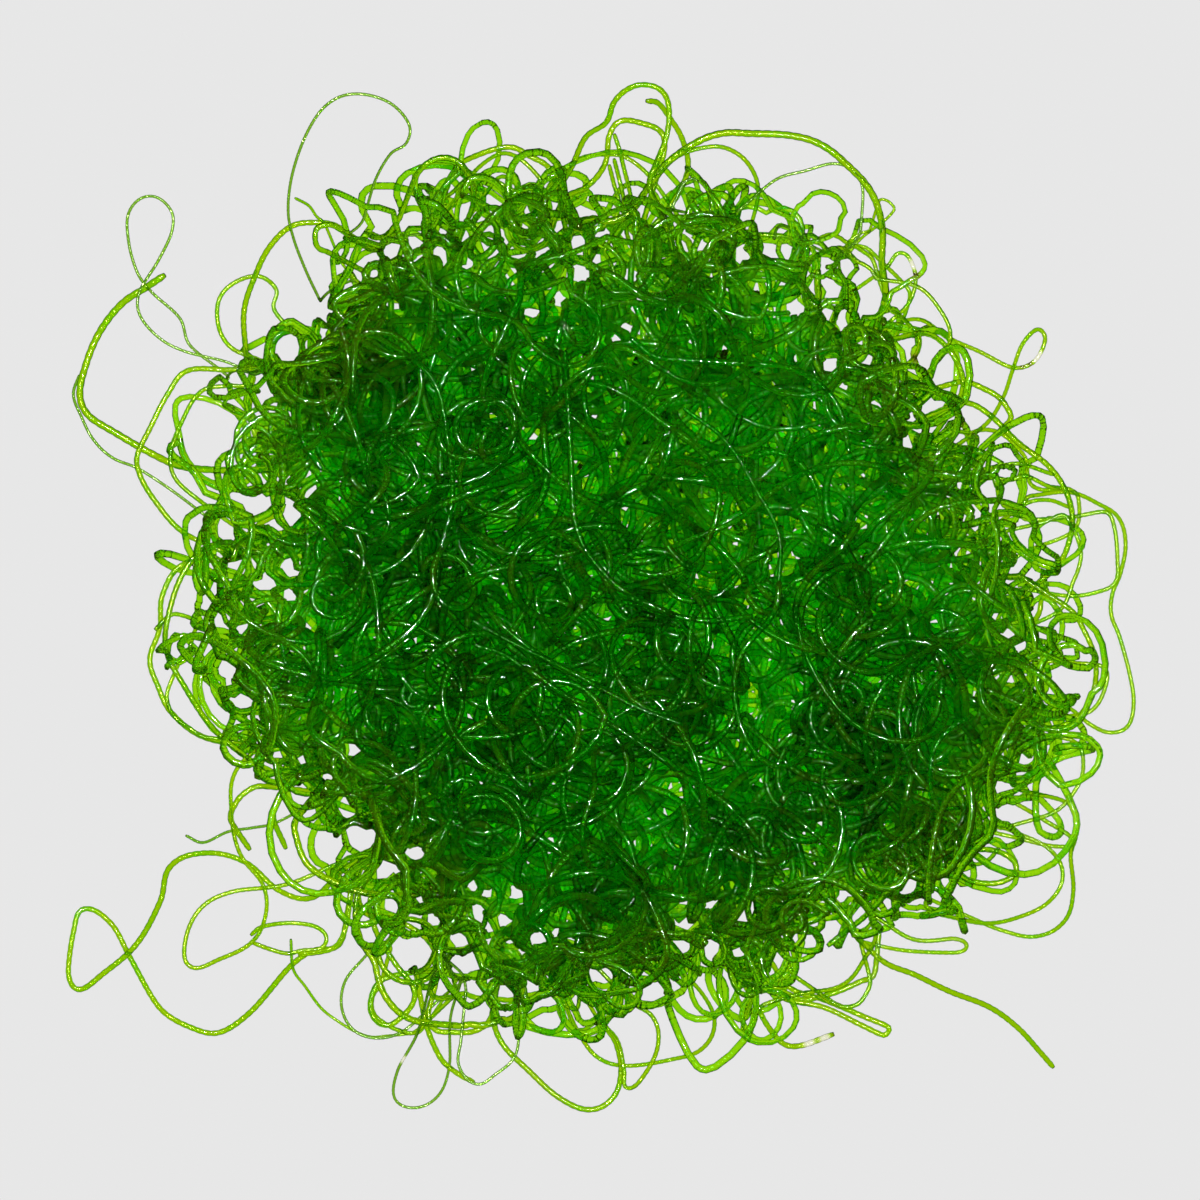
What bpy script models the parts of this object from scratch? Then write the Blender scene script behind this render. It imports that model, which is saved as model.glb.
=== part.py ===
"""Chaeto macroalgae: a loose ball of wiry green filaments that lies on a flat surface.

Metres, +Z up. The clump rests on z = 0, and its plan is centred on the origin. It is the form of the fine
tangle as one closed lumpy mat, with the long loose filaments that stand out of its rim or lie over its top,
each as a tube of its own. Sizes and places are given in millimetres and turned into metres as solids are made.
"""

import math

import bmesh
import bpy
from mathutils import Vector, noise
from mathutils.geometry import interpolate_bezier

MM = 0.001

# The mat of fine filaments: its reach from the middle, every 15 degrees from +X towards +Y.
MAT_REACH = (
    46.0, 42.5, 40.0, 40.0, 44.0, 40.5, 39.0, 42.5, 43.5, 40.0, 42.0, 38.0,
    39.5, 40.0, 37.5, 34.5, 38.0, 42.5, 41.0, 38.5, 40.0, 44.0, 46.5, 47.0,
)
MAT_WIDEST_HEIGHT = 15.0
MAT_RISE = 22.0
MAT_DROP = 16.0
MAT_PLAN_POWER = 2.6
MAT_HEIGHT_POWER = 2.1
MAT_SIDES = 48
MAT_RINGS = 23

# Lumps of the mat's top, as spacing and height, and the hollow that shows dark at its upper left.
LUMPS = ((12.0, 2.6), (5.5, 1.0))
HOLLOW_PLACE = (-23.0, 19.0)
HOLLOW_WIDTH = 5.5
HOLLOW_DEPTH = 6.0

# A filament's tube: how far its bends pull, how many points a span of the smooth route has, how sharply the
# tube may turn between two points, how long a straight piece may be, and how clear of the mat it stays where it
# leaves the rim and where it lies over the top.
BEND_PULL = 0.37
SPAN_STEPS = 10
TURN_LIMIT = math.radians(27.0)
LONGEST_STEP = 5.0
RIM_GAP = 0.9
TOP_GAP = 1.3

# Filament diameters.
THIN = 0.32
SLIM = 0.46
USUAL = 0.6
STOUT = 0.74

# Rim filaments: diameter, heights of the start, middle and end, and the plan of the route.
RIM_FILAMENTS = {
    "upper_left_teardrop": (THIN, (5.0, 8.0, 12.0), (
        (-38.0, 23.0), (-41.2, 25.6), (-42.2, 28.3), (-44.9, 30.8), (-46.4, 32.8), (-47.3, 36.0), (-47.2, 39.0),
        (-45.2, 40.5), (-43.1, 39.2), (-42.9, 37.0), (-44.2, 34.1), (-46.1, 30.9), (-46.1, 28.6), (-44.2, 26.3),
        (-41.6, 24.9), (-38.0, 24.0))),
    "left_arc": (STOUT, (8.2, 7.0, 12.0), (
        (-43.6, 32.6), (-45.6, 31.3), (-48.0, 29.7), (-50.2, 26.9), (-51.6, 23.6), (-52.2, 20.6), (-51.3, 18.5),
        (-48.5, 16.7), (-45.0, 14.7), (-42.0, 13.4), (-38.0, 13.0), (-34.0, 13.0))),
    "left_arc_companion": (THIN, (5.6, 4.6, 6.5), (
        (-52.3, 22.6), (-52.9, 20.6), (-52.1, 18.4), (-50.9, 16.1), (-49.0, 14.3), (-46.4, 13.2), (-43.0, 11.0),
        (-39.0, 8.0))),
    "left_strut_outer": (USUAL, (13.4, 14.6, 13.8), (
        (-37.0, 23.0), (-41.2, 22.9), (-43.2, 20.5), (-44.9, 17.2), (-46.2, 14.4), (-45.9, 12.4), (-44.5, 10.0),
        (-41.8, 6.9), (-38.0, 5.0))),
    "left_strut_inner": (SLIM, (11.4, 10.6, 9.6), (
        (-37.0, 21.5), (-40.0, 20.8), (-42.0, 17.5), (-43.0, 14.5), (-42.4, 12.0), (-39.5, 9.5), (-36.0, 7.0))),
    "upper_left_tall_loop": (THIN, (15.0, 24.0, 19.0), (
        (-28.0, 30.0), (-29.3, 32.8), (-30.5, 36.0), (-31.0, 38.8), (-30.5, 42.5), (-29.0, 46.5), (-27.0, 49.2),
        (-24.3, 50.2), (-21.0, 49.4), (-19.0, 47.3), (-19.2, 45.4), (-20.8, 44.3), (-22.3, 41.8), (-23.5, 38.0))),
    "upper_left_hoop": (USUAL, (10.0, 13.0, 14.0), (
        (-35.5, 25.0), (-35.6, 29.0), (-34.4, 32.6), (-33.0, 35.3), (-30.9, 37.3), (-28.5, 37.7), (-26.2, 37.3),
        (-23.0, 35.0))),
    "upper_left_small_hoop": (SLIM, (8.0, 7.5, 8.6), (
        (-34.0, 24.0), (-37.2, 25.5), (-38.4, 28.4), (-37.6, 31.1), (-34.6, 32.5), (-32.5, 31.2), (-32.7, 29.2),
        (-31.0, 27.0))),
    "top_arch": (USUAL, (14.0, 24.0, 21.5), (
        (-3.0, 35.0), (-4.0, 40.5), (-2.7, 43.3), (-1.4, 46.0), (0.6, 47.4), (1.4, 49.4), (2.8, 50.7), (4.5, 51.1),
        (6.2, 50.4), (6.85, 48.6), (6.6, 46.0), (5.7, 43.6), (4.9, 41.2), (5.9, 38.8), (7.0, 36.0))),
    "top_inner_arch": (USUAL, (14.0, 17.2, 16.0), (
        (-5.0, 36.5), (-3.6, 40.0), (-1.2, 41.3), (0.5, 43.5), (0.9, 46.2), (2.0, 47.7), (4.2, 47.5), (6.1, 46.6),
        (6.4, 44.8), (5.6, 42.0), (4.4, 38.0))),
    "top_hook": (USUAL, (18.4, 14.6, 13.4), (
        (4.6, 49.7), (5.8, 49.5), (7.0, 48.0), (8.2, 46.0), (8.8, 43.4), (8.1, 41.1), (6.6, 38.8), (4.5, 36.5))),
    "top_cross_strand": (SLIM, (12.6, 13.6, 12.6), (
        (-6.5, 39.0), (-4.2, 42.4), (-2.0, 44.1), (0.5, 44.5), (2.6, 44.2), (4.9, 42.4), (7.4, 39.0))),
    "top_thin_strand": (THIN, (17.0, 17.0, 16.0), (
        (7.4, 39.6), (8.4, 41.6), (9.6, 41.9), (10.8, 40.6), (11.0, 38.5), (11.0, 36.0))),
    "upper_right_arch": (STOUT, (17.8, 19.6, 14.0), (
        (3.4, 39.0), (6.2, 43.0), (9.2, 45.3), (12.0, 46.4), (15.0, 46.4), (19.0, 46.2), (22.0, 45.3), (24.6, 43.3),
        (27.0, 40.6), (28.1, 37.2), (28.1, 33.5), (28.5, 30.5), (27.5, 27.0))),
    "upper_right_inner_arch": (SLIM, (15.2, 16.2, 12.4), (
        (4.4, 40.4), (7.4, 44.0), (11.0, 45.2), (13.4, 44.7), (15.2, 42.9), (15.8, 40.5), (15.0, 37.0))),
    "upper_right_thin_arch": (THIN, (15.0, 16.6, 16.4), (
        (14.0, 39.0), (17.5, 41.9), (20.5, 42.8), (23.3, 43.5), (25.4, 42.7), (26.2, 40.8), (26.0, 37.0))),
    "right_top_small_loop": (SLIM, (12.0, 13.0, 12.0), (
        (25.5, 31.0), (28.6, 33.2), (30.1, 34.7), (31.4, 33.0), (31.4, 31.0), (30.5, 29.2), (28.0, 27.0))),
    "right_top_bow": (SLIM, (18.4, 18.0, 17.0), (
        (27.5, 32.0), (31.6, 31.2), (33.8, 29.0), (34.9, 26.6), (34.3, 24.6), (32.0, 22.0))),
    "right_hook": (SLIM, (12.0, 9.0, 15.4), (
        (28.0, 27.0), (31.8, 28.1), (34.8, 26.3), (38.0, 24.9), (41.3, 23.3), (43.5, 23.9), (44.6, 26.1),
        (43.8, 27.1), (42.3, 25.6), (41.3, 23.0), (40.3, 20.2), (38.6, 17.6), (35.0, 15.0))),
    "right_shoulder": (USUAL, (15.0, 13.2, 11.0), (
        (33.0, 18.5), (36.3, 19.7), (38.9, 18.5), (41.8, 15.7), (44.7, 13.5), (46.4, 11.2), (47.2, 8.6), (47.0, 6.2),
        (45.9, 3.6), (43.0, 1.0))),
    "right_far_loop": (SLIM, (11.2, 7.0, 8.5), (
        (43.0, 10.4), (47.0, 10.8), (50.0, 9.6), (52.0, 8.2), (52.7, 5.6), (52.2, 2.7), (51.4, 0.6), (51.3, -1.5),
        (52.1, -3.6), (53.1, -7.2), (53.55, -10.2), (53.0, -12.6), (51.2, -13.3), (49.2, -12.5), (47.0, -10.8),
        (43.0, -9.0))),
    "right_far_loop_double": (SLIM, (10.5, 10.4, 9.5), (
        (43.0, 8.0), (47.2, 8.3), (50.6, 8.8), (51.5, 7.2), (51.8, 4.2), (51.6, 1.8), (49.8, 0.8), (47.0, 0.4),
        (43.0, 1.0))),
    "right_side_bow": (USUAL, (18.0, 17.4, 16.6), (
        (43.0, 1.6), (46.9, -1.0), (48.3, -3.2), (49.2, -5.4), (49.4, -7.8), (48.6, -10.5), (46.4, -12.4),
        (43.0, -13.0))),
    "right_small_loop": (SLIM, (12.0, 12.4, 11.4), (
        (43.0, -6.0), (47.5, -6.3), (50.3, -6.7), (50.6, -8.4), (49.2, -11.0), (46.4, -11.6), (43.0, -11.2))),
    "right_lower_bow": (SLIM, (13.0, 12.8, 13.0), (
        (43.0, -13.2), (47.5, -14.2), (48.3, -16.6), (47.5, -19.0), (45.4, -21.2), (41.0, -22.6))),
    "lower_right_wide_hoop": (SLIM, (13.0, 6.0, 5.0), (
        (42.0, -19.0), (46.9, -20.4), (47.7, -23.4), (47.2, -25.6), (47.5, -29.3), (46.6, -32.3), (43.8, -33.8),
        (40.4, -33.2), (37.0, -31.8), (33.0, -30.0))),
    "lower_right_inner_hoop": (SLIM, (11.2, 11.6, 15.0), (
        (41.0, -23.0), (44.8, -24.8), (46.3, -27.4), (45.0, -30.1), (41.9, -31.7), (38.4, -32.3), (34.0, -31.4))),
    "lower_right_point": (SLIM, (7.2, 6.6, 6.4), (
        (41.0, -20.0), (44.6, -22.1), (47.5, -24.2), (45.4, -24.7), (41.5, -23.8), (38.0, -23.0))),
    "lower_right_tail": (USUAL, (12.6, 9.0, 3.4), (
        (25.5, -33.5), (28.4, -36.2), (31.5, -37.5), (35.0, -39.2), (39.0, -40.8), (41.9, -42.9), (44.2, -45.4),
        (45.6, -47.0))),
    "lower_right_flat_loop": (SLIM, (9.0, 10.4, 10.4), (
        (26.0, -34.2), (30.5, -35.1), (35.6, -35.3), (36.7, -34.6), (35.4, -33.9), (31.5, -34.0), (28.0, -32.0))),
    "bottom_right_long_loop": (USUAL, (10.4, 9.2, 11.4), (
        (13.5, -36.0), (18.0, -39.7), (22.4, -40.8), (26.0, -42.5), (28.4, -43.6), (28.9, -42.8), (26.6, -41.8),
        (22.6, -40.1), (19.0, -38.8), (17.0, -36.0))),
    "bottom_right_small_loop": (SLIM, (14.0, 11.4, 13.4), (
        (15.0, -36.0), (15.3, -39.2), (14.3, -42.4), (14.6, -43.7), (15.4, -42.4), (16.2, -40.6), (20.0, -39.4),
        (24.4, -38.4), (27.0, -35.0))),
    "bottom_right_broken_end": (USUAL, (8.4, 6.6, 5.0), (
        (12.5, -35.5), (15.3, -39.9), (16.8, -42.7), (18.5, -44.6), (20.4, -44.7), (23.5, -43.6))),
    "bottom_wide_loop": (SLIM, (11.0, 5.0, 9.0), (
        (7.0, -36.0), (10.2, -39.4), (11.5, -42.4), (10.2, -45.1), (7.0, -46.2), (2.8, -46.8), (0.0, -46.1),
        (-1.9, -43.9), (-3.4, -40.8), (-5.0, -37.0))),
    "bottom_middle_loop": (SLIM, (14.0, 13.0, 9.8), (
        (0.0, -37.0), (3.0, -40.1), (5.3, -41.7), (5.8, -44.4), (4.6, -47.2), (2.8, -48.8), (2.4, -46.9),
        (1.7, -44.0), (-0.2, -41.9), (-2.5, -38.0))),
    "bottom_big_loop": (USUAL, (10.2, 8.8, 8.2), (
        (-10.0, -37.0), (-10.7, -41.5), (-9.8, -44.4), (-7.2, -47.1), (-4.2, -49.8), (-1.2, -51.08), (1.2, -50.0),
        (2.1, -47.4), (1.6, -44.4), (0.0, -41.2), (2.5, -37.0))),
    "bottom_thin_loop": (THIN, (12.0, 12.0, 11.0), (
        (-13.4, -39.0), (-13.9, -44.0), (-14.1, -46.6), (-12.4, -48.4), (-10.4, -47.4), (-8.5, -45.6), (-8.0, -42.6),
        (-7.4, -39.0))),
    "bottom_left_end": (USUAL, (10.0, 8.6, 7.6), (
        (-18.5, -37.0), (-17.4, -42.6), (-16.0, -45.9), (-14.4, -47.4), (-12.6, -48.4))),
    "bottom_left_thin_loop": (THIN, (14.5, 5.0, 13.0), (
        (-17.0, -38.5), (-18.3, -43.4), (-20.3, -47.2), (-20.6, -50.1), (-18.4, -51.0), (-16.1, -49.6), (-15.1, -46.6),
        (-15.0, -42.0), (-14.0, -38.5))),
    "lower_left_figure_eight": (USUAL, (12.8, 2.0, 8.0), (
        (-22.0, -24.5), (-25.6, -26.9), (-28.8, -29.8), (-32.2, -29.1), (-35.6, -26.3), (-39.6, -25.4), (-43.1, -26.7),
        (-44.2, -30.3), (-46.6, -34.6), (-50.0, -37.6), (-52.4, -39.2), (-53.5, -37.6), (-53.0, -33.4),
        (-51.9, -31.1), (-49.2, -32.6), (-47.2, -36.2), (-44.3, -41.1), (-41.0, -43.1), (-38.2, -43.5),
        (-35.0, -41.3), (-31.4, -37.1), (-29.0, -35.3), (-26.2, -34.6), (-25.2, -30.6), (-24.0, -26.6),
        (-21.0, -23.0))),
    "lower_left_inner_loop": (SLIM, (17.0, 12.0, 10.2), (
        (-33.0, -14.0), (-36.3, -17.0), (-36.8, -21.0), (-36.0, -25.2), (-33.7, -28.4), (-33.4, -31.4),
        (-34.8, -34.2), (-38.0, -35.9), (-40.9, -36.7), (-41.5, -34.2), (-40.0, -30.9), (-36.8, -29.2),
        (-31.5, -28.5), (-27.0, -26.7), (-22.5, -24.8))),
    "lower_left_short_end": (USUAL, (13.0, 11.0, 8.0), (
        (-28.5, -16.5), (-31.6, -19.0), (-32.7, -21.6), (-31.5, -24.9))),
    "lower_left_thin_tail": (THIN, (2.4, 5.0, 7.0), (
        (-41.7, -23.7), (-39.9, -24.4), (-37.4, -23.3), (-35.0, -22.9), (-32.6, -22.4), (-28.0, -20.0))),
    "lower_left_hanging_hoop": (THIN, (9.8, 7.8, 7.0), (
        (-20.0, -32.0), (-23.6, -35.8), (-25.7, -38.6), (-25.6, -41.9), (-23.4, -43.8), (-20.0, -43.4),
        (-16.0, -40.0))),
    "left_rim_strand": (USUAL, (17.0, 18.0, 14.0), (
        (-33.0, 4.6), (-38.4, 5.5), (-41.3, 3.0), (-42.9, -1.2), (-43.2, -5.0), (-41.4, -8.6), (-38.8, -12.5),
        (-35.4, -15.6), (-31.0, -18.0))),
    "left_rim_bow": (USUAL, (12.0, 12.6, 10.6), (
        (-37.0, 4.0), (-41.6, 3.6), (-43.7, 0.6), (-44.0, -2.8), (-45.0, -5.9), (-44.2, -8.6), (-42.9, -11.2),
        (-39.9, -13.6), (-35.0, -14.8))),
}

# Filaments that lie over the top of the mat: diameter and the plan of the route.
TOP_FILAMENTS = {
    "over_hollow_ring": (USUAL, (
        (-27.5, 12.9), (-29.5, 16.2), (-29.6, 21.0), (-27.2, 25.8), (-23.6, 26.4), (-20.0, 24.8), (-16.4, 21.6),
        (-15.1, 16.6), (-14.5, 10.3), (-15.6, 5.0))),
    "over_middle_arc": (USUAL, (
        (-3.4, 24.5), (-2.9, 15.0), (-2.3, 7.0), (0.8, 2.2), (5.0, -0.6), (9.9, -2.0), (15.0, -1.6))),
    "over_front_pair_upper": (SLIM, (
        (-12.6, -2.0), (-9.0, -4.0), (-3.0, -7.0), (3.3, -10.4), (8.0, -12.2))),
    "over_front_pair_lower": (SLIM, (
        (-12.4, -4.4), (-9.0, -5.6), (-5.2, -8.6), (1.7, -12.6), (6.6, -16.0))),
    "over_back_arc": (USUAL, (
        (3.0, 25.8), (5.7, 23.9), (12.2, 23.4), (19.0, 22.8), (23.2, 19.6), (24.6, 14.5))),
    "over_right_arc": (SLIM, (
        (8.2, 18.9), (12.4, 15.6), (15.4, 10.8), (17.6, 6.4), (17.6, 1.6))),
    "over_lower_right_strand": (USUAL, (
        (22.6, -34.4), (26.4, -31.3), (29.6, -27.9), (33.5, -25.5), (38.0, -23.2))),
    "over_right_hook": (SLIM, (
        (36.6, -11.6), (34.6, -12.7), (32.9, -15.0), (32.7, -18.4), (33.6, -21.0))),
    "over_left_sweep": (SLIM, (
        (-31.5, -4.0), (-30.6, -7.0), (-27.0, -8.4), (-22.5, -6.4), (-18.5, -3.6))),
}

# Colours in linear light: the deep green of the mat, and the filaments from thin and pale to stout.
MAT_COLOUR = (0.012, 0.105, 0.004, 1.0)
FILAMENT_COLOURS = {
    THIN: (0.34, 0.50, 0.05, 1.0),
    SLIM: (0.21, 0.44, 0.014, 1.0),
    USUAL: (0.15, 0.38, 0.008, 1.0),
    STOUT: (0.19, 0.46, 0.008, 1.0),
}
WET_ROUGHNESS = 0.22


def clear_scene():
    """Remove the objects of the starting scene."""
    for obj in list(bpy.data.objects):
        bpy.data.objects.remove(obj, do_unlink=True)


def wet_green(name, colour):
    """A glossy green finish."""
    material = bpy.data.materials.new(name)
    material.use_nodes = True
    shader = material.node_tree.nodes["Principled BSDF"]
    shader.inputs["Base Color"].default_value = colour
    shader.inputs["Roughness"].default_value = WET_ROUGHNESS
    shader.inputs["Metallic"].default_value = 0.0
    material.diffuse_color = colour
    return material


def mat_reach(angle):
    """The mat's reach from the middle at this angle, eased between the listed ones."""
    place = (angle % math.tau) / math.tau * len(MAT_REACH)
    index = int(place) % len(MAT_REACH)
    share = place - int(place)
    ease = share * share * (3.0 - 2.0 * share)
    following = MAT_REACH[(index + 1) % len(MAT_REACH)]
    return MAT_REACH[index] * (1.0 - ease) + following * ease


def top_relief(x, y):
    """How far the lumps and the hollow raise or lower the mat's top here."""
    lumps = sum(height * noise.noise(Vector((x, y, 0.0)) / spacing) for spacing, height in LUMPS)
    apart = (Vector((x, y)) - Vector(HOLLOW_PLACE)).length
    return lumps - HOLLOW_DEPTH * math.exp(-((apart / HOLLOW_WIDTH) ** 2))


def level(place, grown=0.0):
    """Below 1 inside the mat and above 1 outside it, once the mat has grown by this much all round."""
    reach = mat_reach(math.atan2(place.y, place.x)) + grown
    outward = (math.hypot(place.x, place.y) / reach) ** MAT_PLAN_POWER
    above = place.z - MAT_WIDEST_HEIGHT
    if above > 0.0:
        height = MAT_RISE + top_relief(place.x, place.y) + grown
    else:
        height = MAT_DROP + grown
    return outward + (abs(above) / height) ** MAT_HEIGHT_POWER


def top_of_mat(x, y, grown):
    """The height of the grown mat's top over this place."""
    reach = mat_reach(math.atan2(y, x)) + grown
    outward = (math.hypot(x, y) / reach) ** MAT_PLAN_POWER
    share = max(0.0, 1.0 - outward) ** (1.0 / MAT_HEIGHT_POWER)
    return MAT_WIDEST_HEIGHT + (MAT_RISE + top_relief(x, y) + grown) * share


def build_mat(collection):
    """The mat: a sphere drawn out to its plan and heights, flat where it rests."""
    shape = bmesh.new()
    bmesh.ops.create_uvsphere(shape, u_segments=MAT_SIDES, v_segments=MAT_RINGS, radius=1.0)
    for vert in shape.verts:
        angle = math.atan2(vert.co.y, vert.co.x)
        rise = max(-1.0, min(1.0, vert.co.z))
        flat = math.sqrt(max(0.0, 1.0 - rise * rise))
        reach = mat_reach(angle) * flat ** (2.0 / MAT_PLAN_POWER)
        x = reach * math.cos(angle)
        y = reach * math.sin(angle)
        share = abs(rise) ** (2.0 / MAT_HEIGHT_POWER)
        if rise > 0.0:
            z = MAT_WIDEST_HEIGHT + (MAT_RISE + top_relief(x, y)) * share
        else:
            z = max(0.0, MAT_WIDEST_HEIGHT - MAT_DROP * share)
        vert.co = Vector((x, y, z)) * MM
    bmesh.ops.recalc_face_normals(shape, faces=shape.faces)
    mesh = bpy.data.meshes.new("filament_mat")
    shape.to_mesh(mesh)
    shape.free()
    mesh.shade_smooth()
    mat = bpy.data.objects.new("filament_mat", mesh)
    mat.data.materials.append(wet_green("mat_green", MAT_COLOUR))
    collection.objects.link(mat)


def smooth_route(points):
    """Points close together on one smooth curve through all the given ones."""
    pulls = []
    for index, point in enumerate(points):
        before = points[max(index - 1, 0)]
        after = points[min(index + 1, len(points) - 1)]
        spans = [(other - point).length for other in (before, after) if other is not point]
        pulls.append((after - before).normalized() * min(spans) * BEND_PULL)
    route = [points[0]]
    for index in range(len(points) - 1):
        start, end = points[index], points[index + 1]
        span = interpolate_bezier(start, start + pulls[index], end - pulls[index + 1], end, SPAN_STEPS + 1)
        route.extend(span[1:])
    return route


def rim_route(heights, plan):
    """The route over the plan, its height passing through those of the start, middle and end."""
    first, middle, last = heights
    flat = [Vector((x, y, 0.0)) for x, y in plan]
    run = [0.0]
    for before, after in zip(flat, flat[1:]):
        run.append(run[-1] + (after - before).length)
    for point, distance in zip(flat, run):
        share = distance / run[-1]
        swell = 4.0 * share * (1.0 - share)
        point.z = first + (last - first) * share + swell * (middle - (first + last) / 2.0)
    return smooth_route(flat)


def outside_mat(route, radius):
    """The longest stretch of the route that stays clear of the mat."""
    stretches = [[]]
    for point in route:
        if level(point, grown=radius + RIM_GAP) > 1.0:
            stretches[-1].append(point)
        elif stretches[-1]:
            stretches.append([])
    return max(stretches, key=len)


def over_mat(plan, radius):
    """The route that lies on the mat's top, just clear of it."""
    flat = smooth_route([Vector((x, y, 0.0)) for x, y in plan])
    for point in flat:
        point.z = top_of_mat(point.x, point.y, radius + TOP_GAP)
    return flat


def thinned(route):
    """The route with only the points that its bends need."""
    kept = [route[0]]
    heading = route[1] - route[0]
    for point, following in zip(route[1:], route[2:]):
        arriving = point - kept[-1]
        turned = heading.angle(following - point, 0.0)
        if turned > TURN_LIMIT or arriving.length > LONGEST_STEP:
            kept.append(point)
            heading = arriving
    kept.append(route[-1])
    return kept


def build_filament(name, diameter, route, collection):
    """One filament: a tube along its route with closed ends."""
    line = bpy.data.curves.new(name, "CURVE")
    line.dimensions = "3D"
    line.bevel_depth = diameter / 2.0 * MM
    line.bevel_resolution = 1
    line.use_fill_caps = True
    points = thinned(route)
    spline = line.splines.new("POLY")
    spline.points.add(len(points) - 1)
    for place, point in zip(spline.points, points):
        place.co = (*(point * MM), 1.0)
    filament = bpy.data.objects.new("filament_" + name, line)
    line.materials.append(wet_green(name + "_green", FILAMENT_COLOURS[diameter]))
    collection.objects.link(filament)


def build():
    """The whole clump."""
    clear_scene()
    collection = bpy.data.collections.new("chaeto_macroalgae")
    bpy.context.scene.collection.children.link(collection)
    build_mat(collection)
    for name, (diameter, heights, plan) in RIM_FILAMENTS.items():
        route = outside_mat(rim_route(heights, plan), diameter / 2.0)
        build_filament(name, diameter, route, collection)
    for name, (diameter, plan) in TOP_FILAMENTS.items():
        build_filament(name, diameter, over_mat(plan, diameter / 2.0), collection)


build()
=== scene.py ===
"""Looks of a loose ball of chaeto macroalgae that lies on a pale floor and is seen from straight above.

The ball is one springy tangle of wiry green filaments. Each filament is a row of barrel-shaped cells, so it
glints in dashes, and it lets light through, so a single one is lime and many on top of each other are deep green;
those in the thick of the tangle are also painted a darker green, as shade.
Places and sizes are in millimetres, and they become metres as meshes are made.
"""

import logging
import math
from dataclasses import dataclass, field
from enum import Enum

import bpy
import numpy as np
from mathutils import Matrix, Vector
from mathutils.bvhtree import BVHTree
from mathutils.geometry import interpolate_bezier


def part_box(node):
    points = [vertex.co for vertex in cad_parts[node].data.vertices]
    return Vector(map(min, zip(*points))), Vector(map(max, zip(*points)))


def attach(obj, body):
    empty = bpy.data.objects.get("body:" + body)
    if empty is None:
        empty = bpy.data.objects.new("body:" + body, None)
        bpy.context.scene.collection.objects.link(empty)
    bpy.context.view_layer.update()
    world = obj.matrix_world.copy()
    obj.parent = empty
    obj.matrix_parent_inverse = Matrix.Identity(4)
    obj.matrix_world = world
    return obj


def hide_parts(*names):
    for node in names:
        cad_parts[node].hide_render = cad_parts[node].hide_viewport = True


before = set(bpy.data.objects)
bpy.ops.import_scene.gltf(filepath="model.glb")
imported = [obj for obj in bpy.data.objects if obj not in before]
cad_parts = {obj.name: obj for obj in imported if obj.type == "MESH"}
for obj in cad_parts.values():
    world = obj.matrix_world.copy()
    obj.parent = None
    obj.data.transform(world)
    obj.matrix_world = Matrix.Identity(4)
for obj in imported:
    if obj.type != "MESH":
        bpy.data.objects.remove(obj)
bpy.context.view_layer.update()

LOG = logging.getLogger("chaeto")
MM = 0.001
BODY = "root"
MAT_NODE = "filament_mat"
UP = np.array((0.0, 0.0, 1.0))


class Gauge(Enum):
    """How thick a filament is, as its diameter in millimetres."""

    THIN = 0.32
    SLIM = 0.46
    USUAL = 0.6
    STOUT = 0.74

    @property
    def radius(self) -> float:
        """Half the diameter."""
        return self.value / 2.0

    @property
    def slot(self) -> str:
        """The record's finish for filaments of this gauge."""
        return "thin_filaments" if self is Gauge.THIN else "filaments"


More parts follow.
